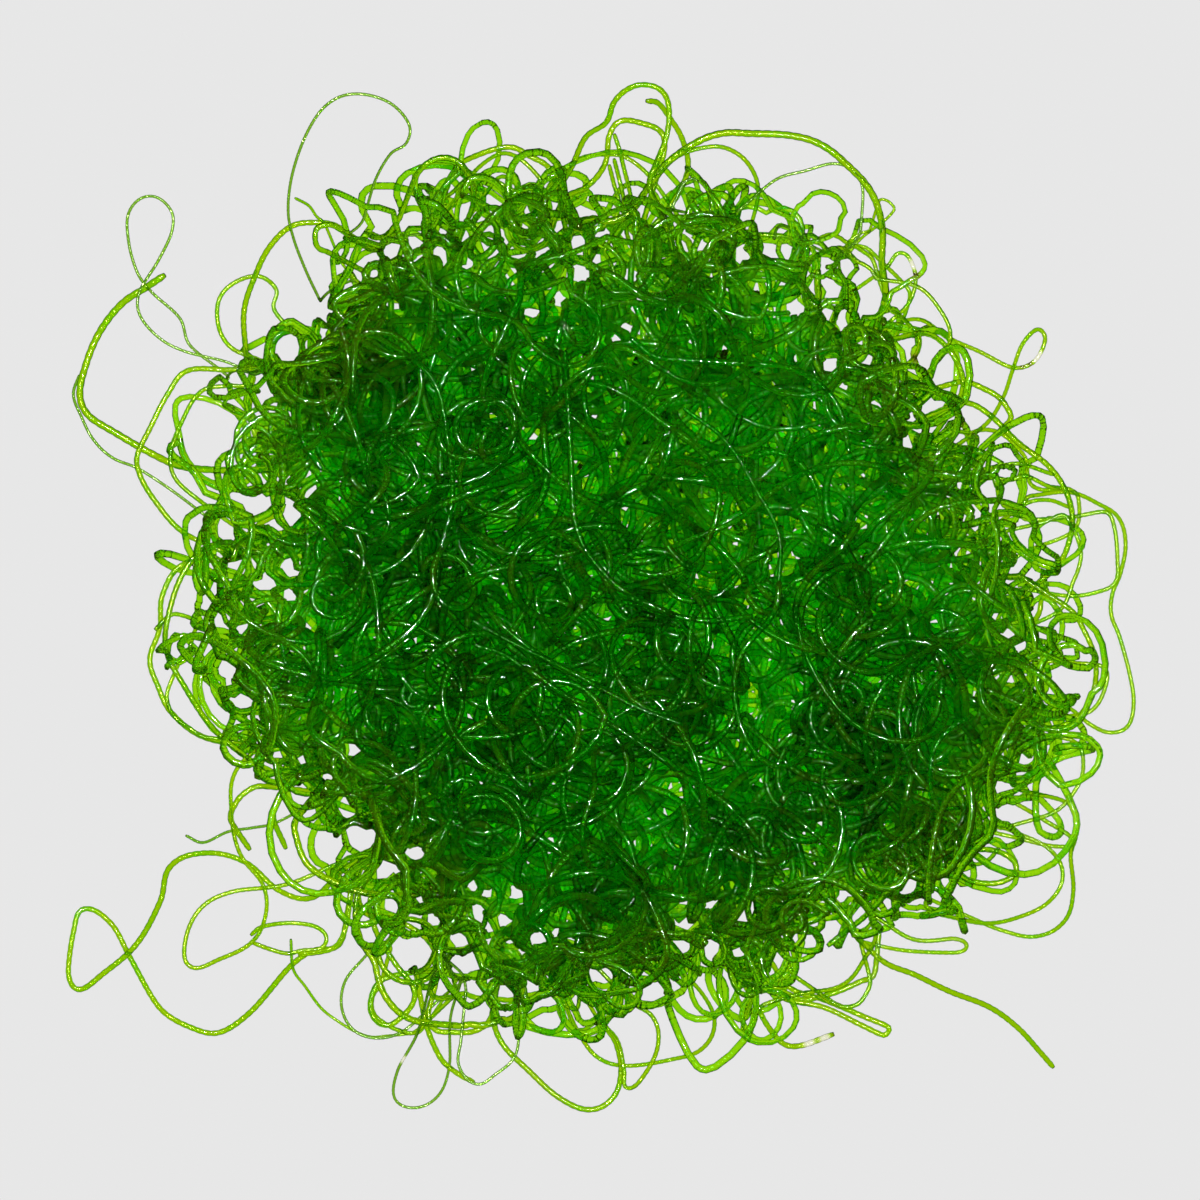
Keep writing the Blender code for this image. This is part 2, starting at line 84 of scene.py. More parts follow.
RIM_FILAMENTS = {
    "upper_left_teardrop": (Gauge.THIN, (5.0, 8.0, 12.0), (
        (-38.0, 23.0), (-41.2, 25.6), (-42.2, 28.3), (-44.9, 30.8), (-46.4, 32.8), (-47.3, 36.0), (-47.2, 39.0),
        (-45.2, 40.5), (-43.1, 39.2), (-42.9, 37.0), (-44.2, 34.1), (-46.1, 30.9), (-46.1, 28.6), (-44.2, 26.3),
        (-41.6, 24.9), (-38.0, 24.0))),
    "left_arc": (Gauge.STOUT, (8.2, 7.0, 12.0), (
        (-43.6, 32.6), (-45.6, 31.3), (-48.0, 29.7), (-50.2, 26.9), (-51.6, 23.6), (-52.2, 20.6), (-51.3, 18.5),
        (-48.5, 16.7), (-45.0, 14.7), (-42.0, 13.4), (-38.0, 13.0), (-34.0, 13.0))),
    "left_arc_companion": (Gauge.THIN, (5.6, 4.6, 6.5), (
        (-52.3, 22.6), (-52.9, 20.6), (-52.1, 18.4), (-50.9, 16.1), (-49.0, 14.3), (-46.4, 13.2), (-43.0, 11.0),
        (-39.0, 8.0))),
    "left_strut_outer": (Gauge.USUAL, (13.4, 14.6, 13.8), (
        (-37.0, 23.0), (-41.2, 22.9), (-43.2, 20.5), (-44.9, 17.2), (-46.2, 14.4), (-45.9, 12.4), (-44.5, 10.0),
        (-41.8, 6.9), (-38.0, 5.0))),
    "left_strut_inner": (Gauge.SLIM, (11.4, 10.6, 9.6), (
        (-37.0, 21.5), (-40.0, 20.8), (-42.0, 17.5), (-43.0, 14.5), (-42.4, 12.0), (-39.5, 9.5), (-36.0, 7.0))),
    "upper_left_tall_loop": (Gauge.THIN, (15.0, 24.0, 19.0), (
        (-28.0, 30.0), (-29.3, 32.8), (-30.5, 36.0), (-31.0, 38.8), (-30.5, 42.5), (-29.0, 46.5), (-27.0, 49.2),
        (-24.3, 50.2), (-21.0, 49.4), (-19.0, 47.3), (-19.2, 45.4), (-20.8, 44.3), (-22.3, 41.8), (-23.5, 38.0))),
    "upper_left_hoop": (Gauge.USUAL, (10.0, 13.0, 14.0), (
        (-35.5, 25.0), (-35.6, 29.0), (-34.4, 32.6), (-33.0, 35.3), (-30.9, 37.3), (-28.5, 37.7), (-26.2, 37.3),
        (-23.0, 35.0))),
    "upper_left_small_hoop": (Gauge.SLIM, (8.0, 7.5, 8.6), (
        (-34.0, 24.0), (-37.2, 25.5), (-38.4, 28.4), (-37.6, 31.1), (-34.6, 32.5), (-32.5, 31.2), (-32.7, 29.2),
        (-31.0, 27.0))),
    "top_arch": (Gauge.USUAL, (14.0, 24.0, 21.5), (
        (-3.0, 35.0), (-4.0, 40.5), (-2.7, 43.3), (-1.4, 46.0), (0.6, 47.4), (1.4, 49.4), (2.8, 50.7), (4.5, 51.1),
        (6.2, 50.4), (6.85, 48.6), (6.6, 46.0), (5.7, 43.6), (4.9, 41.2), (5.9, 38.8), (7.0, 36.0))),
    "top_inner_arch": (Gauge.USUAL, (14.0, 17.2, 16.0), (
        (-5.0, 36.5), (-3.6, 40.0), (-1.2, 41.3), (0.5, 43.5), (0.9, 46.2), (2.0, 47.7), (4.2, 47.5), (6.1, 46.6),
        (6.4, 44.8), (5.6, 42.0), (4.4, 38.0))),
    "top_hook": (Gauge.USUAL, (18.4, 14.6, 13.4), (
        (4.6, 49.7), (5.8, 49.5), (7.0, 48.0), (8.2, 46.0), (8.8, 43.4), (8.1, 41.1), (6.6, 38.8), (4.5, 36.5))),
    "top_cross_strand": (Gauge.SLIM, (12.6, 13.6, 12.6), (
        (-6.5, 39.0), (-4.2, 42.4), (-2.0, 44.1), (0.5, 44.5), (2.6, 44.2), (4.9, 42.4), (7.4, 39.0))),
    "top_thin_strand": (Gauge.THIN, (17.0, 17.0, 16.0), (
        (7.4, 39.6), (8.4, 41.6), (9.6, 41.9), (10.8, 40.6), (11.0, 38.5), (11.0, 36.0))),
    "upper_right_arch": (Gauge.STOUT, (17.8, 19.6, 14.0), (
        (3.4, 39.0), (6.2, 43.0), (9.2, 45.3), (12.0, 46.4), (15.0, 46.4), (19.0, 46.2), (22.0, 45.3), (24.6, 43.3),
        (27.0, 40.6), (28.1, 37.2), (28.1, 33.5), (28.5, 30.5), (27.5, 27.0))),
    "upper_right_inner_arch": (Gauge.SLIM, (15.2, 16.2, 12.4), (
        (4.4, 40.4), (7.4, 44.0), (11.0, 45.2), (13.4, 44.7), (15.2, 42.9), (15.8, 40.5), (15.0, 37.0))),
    "upper_right_thin_arch": (Gauge.THIN, (15.0, 16.6, 16.4), (
        (14.0, 39.0), (17.5, 41.9), (20.5, 42.8), (23.3, 43.5), (25.4, 42.7), (26.2, 40.8), (26.0, 37.0))),
    "right_top_small_loop": (Gauge.SLIM, (12.0, 13.0, 12.0), (
        (25.5, 31.0), (28.6, 33.2), (30.1, 34.7), (31.4, 33.0), (31.4, 31.0), (30.5, 29.2), (28.0, 27.0))),
    "right_top_bow": (Gauge.SLIM, (18.4, 18.0, 17.0), (
        (27.5, 32.0), (31.6, 31.2), (33.8, 29.0), (34.9, 26.6), (34.3, 24.6), (32.0, 22.0))),
    "right_hook": (Gauge.SLIM, (12.0, 9.0, 15.4), (
        (28.0, 27.0), (31.8, 28.1), (34.8, 26.3), (38.0, 24.9), (41.3, 23.3), (43.5, 23.9), (44.6, 26.1),
        (43.8, 27.1), (42.3, 25.6), (41.3, 23.0), (40.3, 20.2), (38.6, 17.6), (35.0, 15.0))),
    "right_shoulder": (Gauge.USUAL, (15.0, 13.2, 11.0), (
        (33.0, 18.5), (36.3, 19.7), (38.9, 18.5), (41.8, 15.7), (44.7, 13.5), (46.4, 11.2), (47.2, 8.6), (47.0, 6.2),
        (45.9, 3.6), (43.0, 1.0))),
    "right_far_loop": (Gauge.SLIM, (11.2, 7.0, 8.5), (
        (43.0, 10.4), (47.0, 10.8), (50.0, 9.6), (52.0, 8.2), (52.7, 5.6), (52.2, 2.7), (51.4, 0.6), (51.3, -1.5),
        (52.1, -3.6), (53.1, -7.2), (53.55, -10.2), (53.0, -12.6), (51.2, -13.3), (49.2, -12.5), (47.0, -10.8),
        (43.0, -9.0))),
    "right_far_loop_double": (Gauge.SLIM, (10.5, 10.4, 9.5), (
        (43.0, 8.0), (47.2, 8.3), (50.6, 8.8), (51.5, 7.2), (51.8, 4.2), (51.6, 1.8), (49.8, 0.8), (47.0, 0.4),
        (43.0, 1.0))),
    "right_side_bow": (Gauge.USUAL, (18.0, 17.4, 16.6), (
        (43.0, 1.6), (46.9, -1.0), (48.3, -3.2), (49.2, -5.4), (49.4, -7.8), (48.6, -10.5), (46.4, -12.4),
        (43.0, -13.0))),
    "right_small_loop": (Gauge.SLIM, (12.0, 12.4, 11.4), (
        (43.0, -6.0), (47.5, -6.3), (50.3, -6.7), (50.6, -8.4), (49.2, -11.0), (46.4, -11.6), (43.0, -11.2))),
    "right_lower_bow": (Gauge.SLIM, (13.0, 12.8, 13.0), (
        (43.0, -13.2), (47.5, -14.2), (48.3, -16.6), (47.5, -19.0), (45.4, -21.2), (41.0, -22.6))),
    "lower_right_wide_hoop": (Gauge.SLIM, (13.0, 6.0, 5.0), (
        (42.0, -19.0), (46.9, -20.4), (47.7, -23.4), (47.2, -25.6), (47.5, -29.3), (46.6, -32.3), (43.8, -33.8),
        (40.4, -33.2), (37.0, -31.8), (33.0, -30.0))),
    "lower_right_inner_hoop": (Gauge.SLIM, (11.2, 11.6, 15.0), (
        (41.0, -23.0), (44.8, -24.8), (46.3, -27.4), (45.0, -30.1), (41.9, -31.7), (38.4, -32.3), (34.0, -31.4))),
    "lower_right_point": (Gauge.SLIM, (7.2, 6.6, 6.4), (
        (41.0, -20.0), (44.6, -22.1), (47.5, -24.2), (45.4, -24.7), (41.5, -23.8), (38.0, -23.0))),
    "lower_right_tail": (Gauge.USUAL, (12.6, 9.0, 3.4), (
        (25.5, -33.5), (28.4, -36.2), (31.5, -37.5), (35.0, -39.2), (39.0, -40.8), (41.9, -42.9), (44.2, -45.4),
        (45.6, -47.0))),
    "lower_right_flat_loop": (Gauge.SLIM, (9.0, 10.4, 10.4), (
        (26.0, -34.2), (30.5, -35.1), (35.6, -35.3), (36.7, -34.6), (35.4, -33.9), (31.5, -34.0), (28.0, -32.0))),
    "bottom_right_long_loop": (Gauge.USUAL, (10.4, 9.2, 11.4), (
        (13.5, -36.0), (18.0, -39.7), (22.4, -40.8), (26.0, -42.5), (28.4, -43.6), (28.9, -42.8), (26.6, -41.8),
        (22.6, -40.1), (19.0, -38.8), (17.0, -36.0))),
    "bottom_right_small_loop": (Gauge.SLIM, (14.0, 11.4, 13.4), (
        (15.0, -36.0), (15.3, -39.2), (14.3, -42.4), (14.6, -43.7), (15.4, -42.4), (16.2, -40.6), (20.0, -39.4),
        (24.4, -38.4), (27.0, -35.0))),
    "bottom_right_broken_end": (Gauge.USUAL, (8.4, 6.6, 5.0), (
        (12.5, -35.5), (15.3, -39.9), (16.8, -42.7), (18.5, -44.6), (20.4, -44.7), (23.5, -43.6))),
    "bottom_wide_loop": (Gauge.SLIM, (11.0, 5.0, 9.0), (
        (7.0, -36.0), (10.2, -39.4), (11.5, -42.4), (10.2, -45.1), (7.0, -46.2), (2.8, -46.8), (0.0, -46.1),
        (-1.9, -43.9), (-3.4, -40.8), (-5.0, -37.0))),
    "bottom_middle_loop": (Gauge.SLIM, (14.0, 13.0, 9.8), (
        (0.0, -37.0), (3.0, -40.1), (5.3, -41.7), (5.8, -44.4), (4.6, -47.2), (2.8, -48.8), (2.4, -46.9),
        (1.7, -44.0), (-0.2, -41.9), (-2.5, -38.0))),
    "bottom_big_loop": (Gauge.USUAL, (10.2, 8.8, 8.2), (
        (-10.0, -37.0), (-10.7, -41.5), (-9.8, -44.4), (-7.2, -47.1), (-4.2, -49.8), (-1.2, -51.08), (1.2, -50.0),
        (2.1, -47.4), (1.6, -44.4), (0.0, -41.2), (2.5, -37.0))),
    "bottom_thin_loop": (Gauge.THIN, (12.0, 12.0, 11.0), (
        (-13.4, -39.0), (-13.9, -44.0), (-14.1, -46.6), (-12.4, -48.4), (-10.4, -47.4), (-8.5, -45.6), (-8.0, -42.6),
        (-7.4, -39.0))),
    "bottom_left_end": (Gauge.USUAL, (10.0, 8.6, 7.6), (
        (-18.5, -37.0), (-17.4, -42.6), (-16.0, -45.9), (-14.4, -47.4), (-12.6, -48.4))),
    "bottom_left_thin_loop": (Gauge.THIN, (14.5, 5.0, 13.0), (
        (-17.0, -38.5), (-18.3, -43.4), (-20.3, -47.2), (-20.6, -50.1), (-18.4, -51.0), (-16.1, -49.6), (-15.1, -46.6),
        (-15.0, -42.0), (-14.0, -38.5))),
    "lower_left_figure_eight": (Gauge.USUAL, (12.8, 2.0, 8.0), (
        (-22.0, -24.5), (-25.6, -26.9), (-28.8, -29.8), (-32.2, -29.1), (-35.6, -26.3), (-39.6, -25.4), (-43.1, -26.7),
        (-44.2, -30.3), (-46.6, -34.6), (-50.0, -37.6), (-52.4, -39.2), (-53.5, -37.6), (-53.0, -33.4),
        (-51.9, -31.1), (-49.2, -32.6), (-47.2, -36.2), (-44.3, -41.1), (-41.0, -43.1), (-38.2, -43.5),
        (-35.0, -41.3), (-31.4, -37.1), (-29.0, -35.3), (-26.2, -34.6), (-25.2, -30.6), (-24.0, -26.6),
        (-21.0, -23.0))),
    "lower_left_inner_loop": (Gauge.SLIM, (17.0, 12.0, 10.2), (
        (-33.0, -14.0), (-36.3, -17.0), (-36.8, -21.0), (-36.0, -25.2), (-33.7, -28.4), (-33.4, -31.4),
        (-34.8, -34.2), (-38.0, -35.9), (-40.9, -36.7), (-41.5, -34.2), (-40.0, -30.9), (-36.8, -29.2),
        (-31.5, -28.5), (-27.0, -26.7), (-22.5, -24.8))),
    "lower_left_short_end": (Gauge.USUAL, (13.0, 11.0, 8.0), (
        (-28.5, -16.5), (-31.6, -19.0), (-32.7, -21.6), (-31.5, -24.9))),
    "lower_left_thin_tail": (Gauge.THIN, (2.4, 5.0, 7.0), (
        (-41.7, -23.7), (-39.9, -24.4), (-37.4, -23.3), (-35.0, -22.9), (-32.6, -22.4), (-28.0, -20.0))),
    "lower_left_hanging_hoop": (Gauge.THIN, (9.8, 7.8, 7.0), (
        (-20.0, -32.0), (-23.6, -35.8), (-25.7, -38.6), (-25.6, -41.9), (-23.4, -43.8), (-20.0, -43.4),
        (-16.0, -40.0))),
    "left_rim_strand": (Gauge.USUAL, (17.0, 18.0, 14.0), (
        (-33.0, 4.6), (-38.4, 5.5), (-41.3, 3.0), (-42.9, -1.2), (-43.2, -5.0), (-41.4, -8.6), (-38.8, -12.5),
        (-35.4, -15.6), (-31.0, -18.0))),
    "left_rim_bow": (Gauge.USUAL, (12.0, 12.6, 10.6), (
        (-37.0, 4.0), (-41.6, 3.6), (-43.7, 0.6), (-44.0, -2.8), (-45.0, -5.9), (-44.2, -8.6), (-42.9, -11.2),
        (-39.9, -13.6), (-35.0, -14.8))),
}


TOP_FILAMENTS = {
    "over_hollow_ring": (Gauge.USUAL, (
        (-27.5, 12.9), (-29.5, 16.2), (-29.6, 21.0), (-27.2, 25.8), (-23.6, 26.4), (-20.0, 24.8), (-16.4, 21.6),
        (-15.1, 16.6), (-14.5, 10.3), (-15.6, 5.0))),
    "over_middle_arc": (Gauge.USUAL, (
        (-3.4, 24.5), (-2.9, 15.0), (-2.3, 7.0), (0.8, 2.2), (5.0, -0.6), (9.9, -2.0), (15.0, -1.6))),
    "over_front_pair_upper": (Gauge.SLIM, (
        (-12.6, -2.0), (-9.0, -4.0), (-3.0, -7.0), (3.3, -10.4), (8.0, -12.2))),
    "over_front_pair_lower": (Gauge.SLIM, (
        (-12.4, -4.4), (-9.0, -5.6), (-5.2, -8.6), (1.7, -12.6), (6.6, -16.0))),
    "over_back_arc": (Gauge.USUAL, (
        (3.0, 25.8), (5.7, 23.9), (12.2, 23.4), (19.0, 22.8), (23.2, 19.6), (24.6, 14.5))),
    "over_right_arc": (Gauge.SLIM, (
        (8.2, 18.9), (12.4, 15.6), (15.4, 10.8), (17.6, 6.4), (17.6, 1.6))),
    "over_lower_right_strand": (Gauge.USUAL, (
        (22.6, -34.4), (26.4, -31.3), (29.6, -27.9), (33.5, -25.5), (38.0, -23.2))),
    "over_right_hook": (Gauge.SLIM, (
        (36.6, -11.6), (34.6, -12.7), (32.9, -15.0), (32.7, -18.4), (33.6, -21.0))),
    "over_left_sweep": (Gauge.SLIM, (
        (-31.5, -4.0), (-30.6, -7.0), (-27.0, -8.4), (-22.5, -6.4), (-18.5, -3.6))),
}



# Strands of the fringe that come out of the tangle only a little: gauge, heights of start, middle and end, plan.
FRINGE_STRANDS = (
    (Gauge.USUAL, (12.0, 17.0, 14.0), (
        (29.0, 26.0), (32.4, 26.6), (34.6, 25.2), (36.1, 22.4), (35.8, 20.0), (33.0, 16.0))),
    (Gauge.SLIM, (16.0, 17.0, 14.0), ((1.4, 44.0), (1.9, 42.0), (2.3, 40.2), (2.6, 37.0))),
    (Gauge.SLIM, (13.0, 14.0, 15.0), ((0.9, 43.5), (1.4, 41.5), (1.9, 39.5), (1.0, 36.0))),
    (Gauge.SLIM, (16.5, 15.5, 13.0), ((1.4, 46.5), (1.9, 45.0), (2.4, 43.0), (3.0, 40.6), (3.6, 37.0))),
    (Gauge.USUAL, (10.0, 15.0, 12.0), (
        (-16.5, 38.0), (-14.5, 43.0), (-12.0, 44.5), (-9.0, 45.2), (-7.0, 44.3), (-5.0, 43.0), (-3.0, 38.0))),
    (Gauge.SLIM, (12.0, 17.0, 14.0), (
        (-14.5, 40.0), (-12.5, 42.8), (-10.0, 44.5), (-8.0, 44.0), (-6.0, 42.0), (-5.9, 40.8), (-7.0, 40.0),
        (-9.0, 41.0), (-12.3, 42.4), (-15.0, 40.5))),
    (Gauge.SLIM, (10.0, 13.0, 10.0), ((-14.0, 37.0), (-11.5, 40.5), (-9.5, 42.3), (-6.0, 39.0))),
    (Gauge.THIN, (12.0, 14.0, 12.0), ((-30.5, 40.2), (-29.1, 39.4), (-28.3, 38.3), (-27.5, 37.6), (-26.0, 34.0))),
    (Gauge.USUAL, (19.0, 22.0, 18.0), (
        (-23.0, 35.0), (-26.5, 37.2), (-28.0, 37.0), (-28.3, 36.0), (-28.0, 35.0), (-27.1, 34.6), (-24.0, 33.0))),
    (Gauge.USUAL, (18.0, 21.0, 17.0), (
        (-20.0, 38.0), (-18.0, 42.6), (-15.5, 44.0), (-13.2, 42.6), (-12.6, 39.6), (-14.0, 36.0))),
    (Gauge.THIN, (12.0, 13.0, 12.0), (
        (27.0, 37.0), (27.9, 39.9), (28.7, 39.9), (29.4, 39.2), (29.2, 38.7), (28.4, 37.9), (26.5, 36.5))),
    (Gauge.SLIM, (14.0, 15.0, 14.0), ((26.0, 35.0), (27.2, 34.0), (28.0, 31.5), (29.0, 29.0), (29.8, 28.5))),
    (Gauge.SLIM, (11.0, 12.0, 11.0), ((27.0, 35.0), (28.5, 33.5), (30.0, 32.0), (31.0, 30.5), (30.0, 27.0))),
    (Gauge.USUAL, (12.0, 13.0, 12.0), (
        (33.0, 21.0), (36.3, 21.8), (38.6, 21.0), (39.8, 20.3), (40.5, 19.5), (41.0, 18.0), (38.0, 15.0))),
    (Gauge.SLIM, (12.0, 10.0, 9.0), (
        (41.0, 16.0), (42.5, 14.3), (42.8, 12.6), (43.2, 11.5), (44.5, 11.0), (46.0, 11.2), (47.2, 11.0),
        (47.9, 10.2), (47.5, 7.0), (43.0, 5.0))),
    (Gauge.SLIM, (13.0, 14.0, 13.0), ((37.0, 12.8), (40.0, 13.4), (42.0, 13.6), (44.5, 12.8), (45.4, 12.5))),
    (Gauge.SLIM, (11.0, 12.0, 11.0), ((36.0, 12.0), (39.5, 12.2), (41.0, 12.0), (42.6, 12.4), (44.8, 11.4), (46.2, 11.2))),
    (Gauge.SLIM, (9.0, 10.0, 9.0), ((38.0, 6.5), (41.0, 8.5), (43.0, 9.8), (45.0, 10.0), (46.5, 9.5), (47.2, 9.2))),
    (Gauge.SLIM, (12.0, 12.0, 12.0), ((41.0, 7.0), (44.5, 7.8), (46.3, 8.5), (47.2, 7.3), (47.8, 6.0),
                                      (48.1, 4.5), (47.8, 3.0), (47.3, 1.8), (46.0, -1.0), (42.0, -3.0))),
    (Gauge.USUAL, (9.0, 8.0, 8.0), (
        (16.0, -38.0), (20.0, -40.0), (22.0, -39.8), (24.0, -39.2), (26.0, -38.3), (27.5, -37.5), (28.0, -33.0))),
    (Gauge.SLIM, (12.0, 13.0, 12.0), (
        (20.0, -38.0), (23.8, -40.5), (25.5, -40.5), (26.5, -39.5), (27.0, -38.0), (26.0, -34.0))),
    (Gauge.SLIM, (10.0, 9.0, 10.0), (
        (3.0, -37.0), (1.5, -39.8), (0.3, -41.5), (-1.5, -43.0), (-2.6, -42.8), (-4.0, -39.0))),
    (Gauge.SLIM, (9.0, 8.0, 9.0), (
        (-21.0, -35.0), (-22.0, -38.5), (-22.8, -39.8), (-22.7, -41.4), (-21.5, -42.5), (-20.0, -43.2),
        (-18.5, -43.3), (-15.0, -40.0))),
    (Gauge.THIN, (8.0, 5.0, 8.0), (
        (-31.0, -34.0), (-30.8, -37.0), (-29.6, -38.8), (-28.0, -41.0), (-26.2, -42.4), (-24.5, -43.4),
        (-23.0, -43.9), (-21.5, -43.8), (-19.5, -43.6), (-18.0, -43.3), (-15.0, -39.0))),
    (Gauge.SLIM, (9.0, 10.0, 9.0), (
        (-35.0, -33.6), (-34.0, -32.8), (-32.0, -32.4), (-30.0, -32.4), (-28.3, -32.8), (-27.4, -33.8),
        (-28.0, -34.9), (-29.8, -35.1), (-31.3, -35.4), (-33.0, -35.0), (-34.9, -34.3))),
    (Gauge.USUAL, (12.0, 13.0, 12.0), (
        (-35.0, -25.0), (-36.9, -22.0), (-36.4, -20.3), (-35.4, -19.2), (-34.0, -18.6), (-30.0, -19.0))),
    (Gauge.STOUT, (18.0, 21.0, 18.0), (
        (-28.0, -19.0), (-30.3, -22.0), (-30.1, -24.0), (-29.3, -26.0), (-28.0, -27.2), (-26.5, -28.0),
        (-25.0, -28.7), (-23.0, -29.2), (-20.5, -29.4), (-18.0, -29.2), (-14.0, -27.0))),
    (Gauge.STOUT, (12.0, 14.0, 12.0), (
        (-22.0, -26.0), (-24.0, -29.0), (-24.4, -31.5), (-23.9, -34.0), (-22.6, -36.0), (-22.1, -38.0), (-21.3, -39.8),
        (-19.8, -41.4), (-17.8, -42.2), (-14.0, -42.6))),
    (Gauge.USUAL, (10.0, 11.0, 10.0), (
        (-24.0, -27.0), (-25.0, -29.5), (-25.2, -31.5), (-25.7, -33.5), (-26.5, -34.7), (-27.9, -35.2), (-30.2, -35.5))),
    (Gauge.USUAL, (12.0, 15.0, 12.0), (
        (-15.0, -33.0), (-16.6, -37.2), (-19.0, -38.2), (-21.4, -37.0), (-22.1, -34.6), (-21.0, -32.4),
        (-18.6, -31.9), (-16.4, -33.2), (-15.6, -35.6), (-17.0, -39.0))),
    (Gauge.USUAL, (11.0, 10.0, 9.0), (
        (-23.0, -31.2), (-22.4, -33.2), (-21.4, -35.0), (-20.2, -36.8), (-18.9, -38.4), (-18.6, -40.0), (-19.7, -41.6),
        (-21.4, -42.6), (-22.8, -41.6), (-22.9, -39.8), (-22.0, -38.2), (-20.0, -37.5), (-16.0, -37.0))),
    (Gauge.USUAL, (10.0, 9.0, 10.0), (
        (-23.1, -31.6), (-20.9, -31.9), (-18.6, -33.0), (-17.0, -34.4), (-16.2, -36.4), (-16.6, -39.0), (-17.2, -41.4),
        (-16.6, -43.0), (-14.8, -43.3), (-12.6, -43.2), (-11.0, -42.0), (-10.6, -39.6), (-10.0, -36.0))),
    (Gauge.SLIM, (13.0, 13.0, 13.0), (
        (-44.5, -3.0), (-42.9, -1.5), (-41.5, -1.6), (-40.3, -2.2), (-39.2, -3.2), (-38.0, -4.3), (-35.0, -6.5))),
    (Gauge.SLIM, (12.0, 13.0, 12.0), (
        (-42.0, -6.0), (-43.2, -9.0), (-43.2, -10.3), (-42.5, -11.7), (-41.0, -12.8), (-39.8, -13.6),
        (-38.0, -13.9), (-34.0, -14.6))),
    (Gauge.USUAL, (16.0, 18.0, 16.0), (
        (33.0, -27.0), (35.0, -25.6), (37.0, -24.9), (39.5, -25.0), (41.2, -26.0), (41.3, -27.3), (39.5, -28.2),
        (37.0, -28.0), (35.6, -27.0), (33.0, -24.0))),
)


@dataclass(frozen=True)
class Mark:
    """A small place, seen from above, where filaments are bleached, strength 1, or soiled, strength -1."""

    x: float
    y: float
    radius: float
    strength: float = 1.0
    edge: float = 1.8

    def at(self, places: np.ndarray) -> np.ndarray:
        """How strongly it shows at each of these places."""
        reach = np.hypot(places[:, 0] - self.x, places[:, 1] - self.y) / self.radius
        return self.strength * np.clip(self.edge * (1.0 - reach), 0.0, 1.0)


MARKS = (
    Mark(31.4, 33.6, 0.9), Mark(43.9, 24.3, 1.0), Mark(21.0, -44.5, 0.9), Mark(22.6, -44.1, 0.9), Mark(-19.7, -46.1, 0.6),
    Mark(31.4, 32.4, 0.55, -1.0), Mark(43.1, 23.8, 0.45, -1.0), Mark(42.3, 23.5, 0.35, -1.0),
    Mark(31.7, 24.1, 0.65, -1.0), Mark(31.0, 24.4, 0.4, -0.9), Mark(36.9, 18.2, 0.7, -1.0), Mark(37.8, 18.4, 0.6, -1.0),
    Mark(36.2, 17.6, 0.5, -1.0), Mark(23.6, -43.6, 0.5, -0.9), Mark(28.6, 37.0, 0.5, -0.8),
)


def unit(vectors: np.ndarray) -> np.ndarray:
    """The same directions with length one.

    Args:
        vectors: Rows of three numbers.

    Returns:
        The rows, each divided by its length.
    """
    return vectors / np.maximum(np.linalg.norm(vectors, axis=-1, keepdims=True), 1e-9)


def deselect_all() -> None:
    """Leave nothing selected, so that an operator acts only on what is picked next."""
    for picked in list(bpy.context.selected_objects):
        picked.select_set(False)


def pick(obj: bpy.types.Object) -> None:
    """Make this object the only selected and the active one."""
    deselect_all()
    obj.select_set(True)
    bpy.context.view_layer.objects.active = obj


@dataclass
class Strand:
    """One filament as a row of points, with a thickness and a shade from 0, pale, to 1, deep, at each; deep is painted
    shade for the thick of the tangle, with a random spread added.
    """

    points: np.ndarray
    radii: np.ndarray
    tones_and_shade: np.ndarray

    def along(self) -> np.ndarray:
        """The distance of each point from the filament's start."""
        steps = np.linalg.norm(np.diff(self.points, axis=0), axis=1)
        return np.concatenate(([0.0], np.cumsum(steps)))


def smooth_route(plan: list[Vector], pull: float = 0.37, steps: int = 10) -> np.ndarray:
    """Points close together on one smooth curve through all the given ones.

    Args:
        plan: The points that the route goes through.
        pull: How far the handles of a bend reach, as a share of its shorter span.
        steps: How many points each span is given.

    Returns:
        The route's points, one a row.
    """
    pulls = []
    for index, point in enumerate(plan):
        before = plan[max(index - 1, 0)]
        after = plan[min(index + 1, len(plan) - 1)]
        spans = [(other - point).length for other in (before, after) if other is not point]
        pulls.append((after - before).normalized() * min(spans) * pull)
    route = [plan[0]]
    for index in range(len(plan) - 1):
        start, end = plan[index], plan[index + 1]
        span = interpolate_bezier(start, start + pulls[index], end - pulls[index + 1], end, steps + 1)
        route.extend(span[1:])
    return np.array([tuple(point) for point in route])


def rim_route(heights: tuple[float, float, float], plan: tuple[tuple[float, float], ...]) -> np.ndarray:
    """The route over a plan, its height passing through those of the start, middle and end.

    Args:
        heights: The heights of the start, middle and end.
        plan: The places that the route passes over.

    Returns:
        The route's points, one a row.
    """
    first, middle, last = heights
    flat = [Vector((x, y, 0.0)) for x, y in plan]
    run = [0.0]
    for before, after in zip(flat, flat[1:]):
        run.append(run[-1] + (after - before).length)
    for point, distance in zip(flat, run):
        share = distance / run[-1]
        swell = 4.0 * share * (1.0 - share)
        point.z = first + (last - first) * share + swell * (middle - (first + last) / 2.0)
    return smooth_route(flat)


def evenly_spaced(route: np.ndarray, spacing: float) -> np.ndarray:
    """The route with its points an even distance apart.

    Args:
        route: Points, one a row.
        spacing: The wished distance between points.

    Returns:
        New points along the same line, its two ends kept.
    """
    lengths = np.linalg.norm(np.diff(route, axis=0), axis=1)
    run = np.concatenate(([0.0], np.cumsum(lengths)))
    count = max(2, int(round(run[-1] / spacing)) + 1)
    places = np.linspace(0.0, run[-1], count)
    return np.column_stack([np.interp(places, run, route[:, axis]) for axis in range(3)])


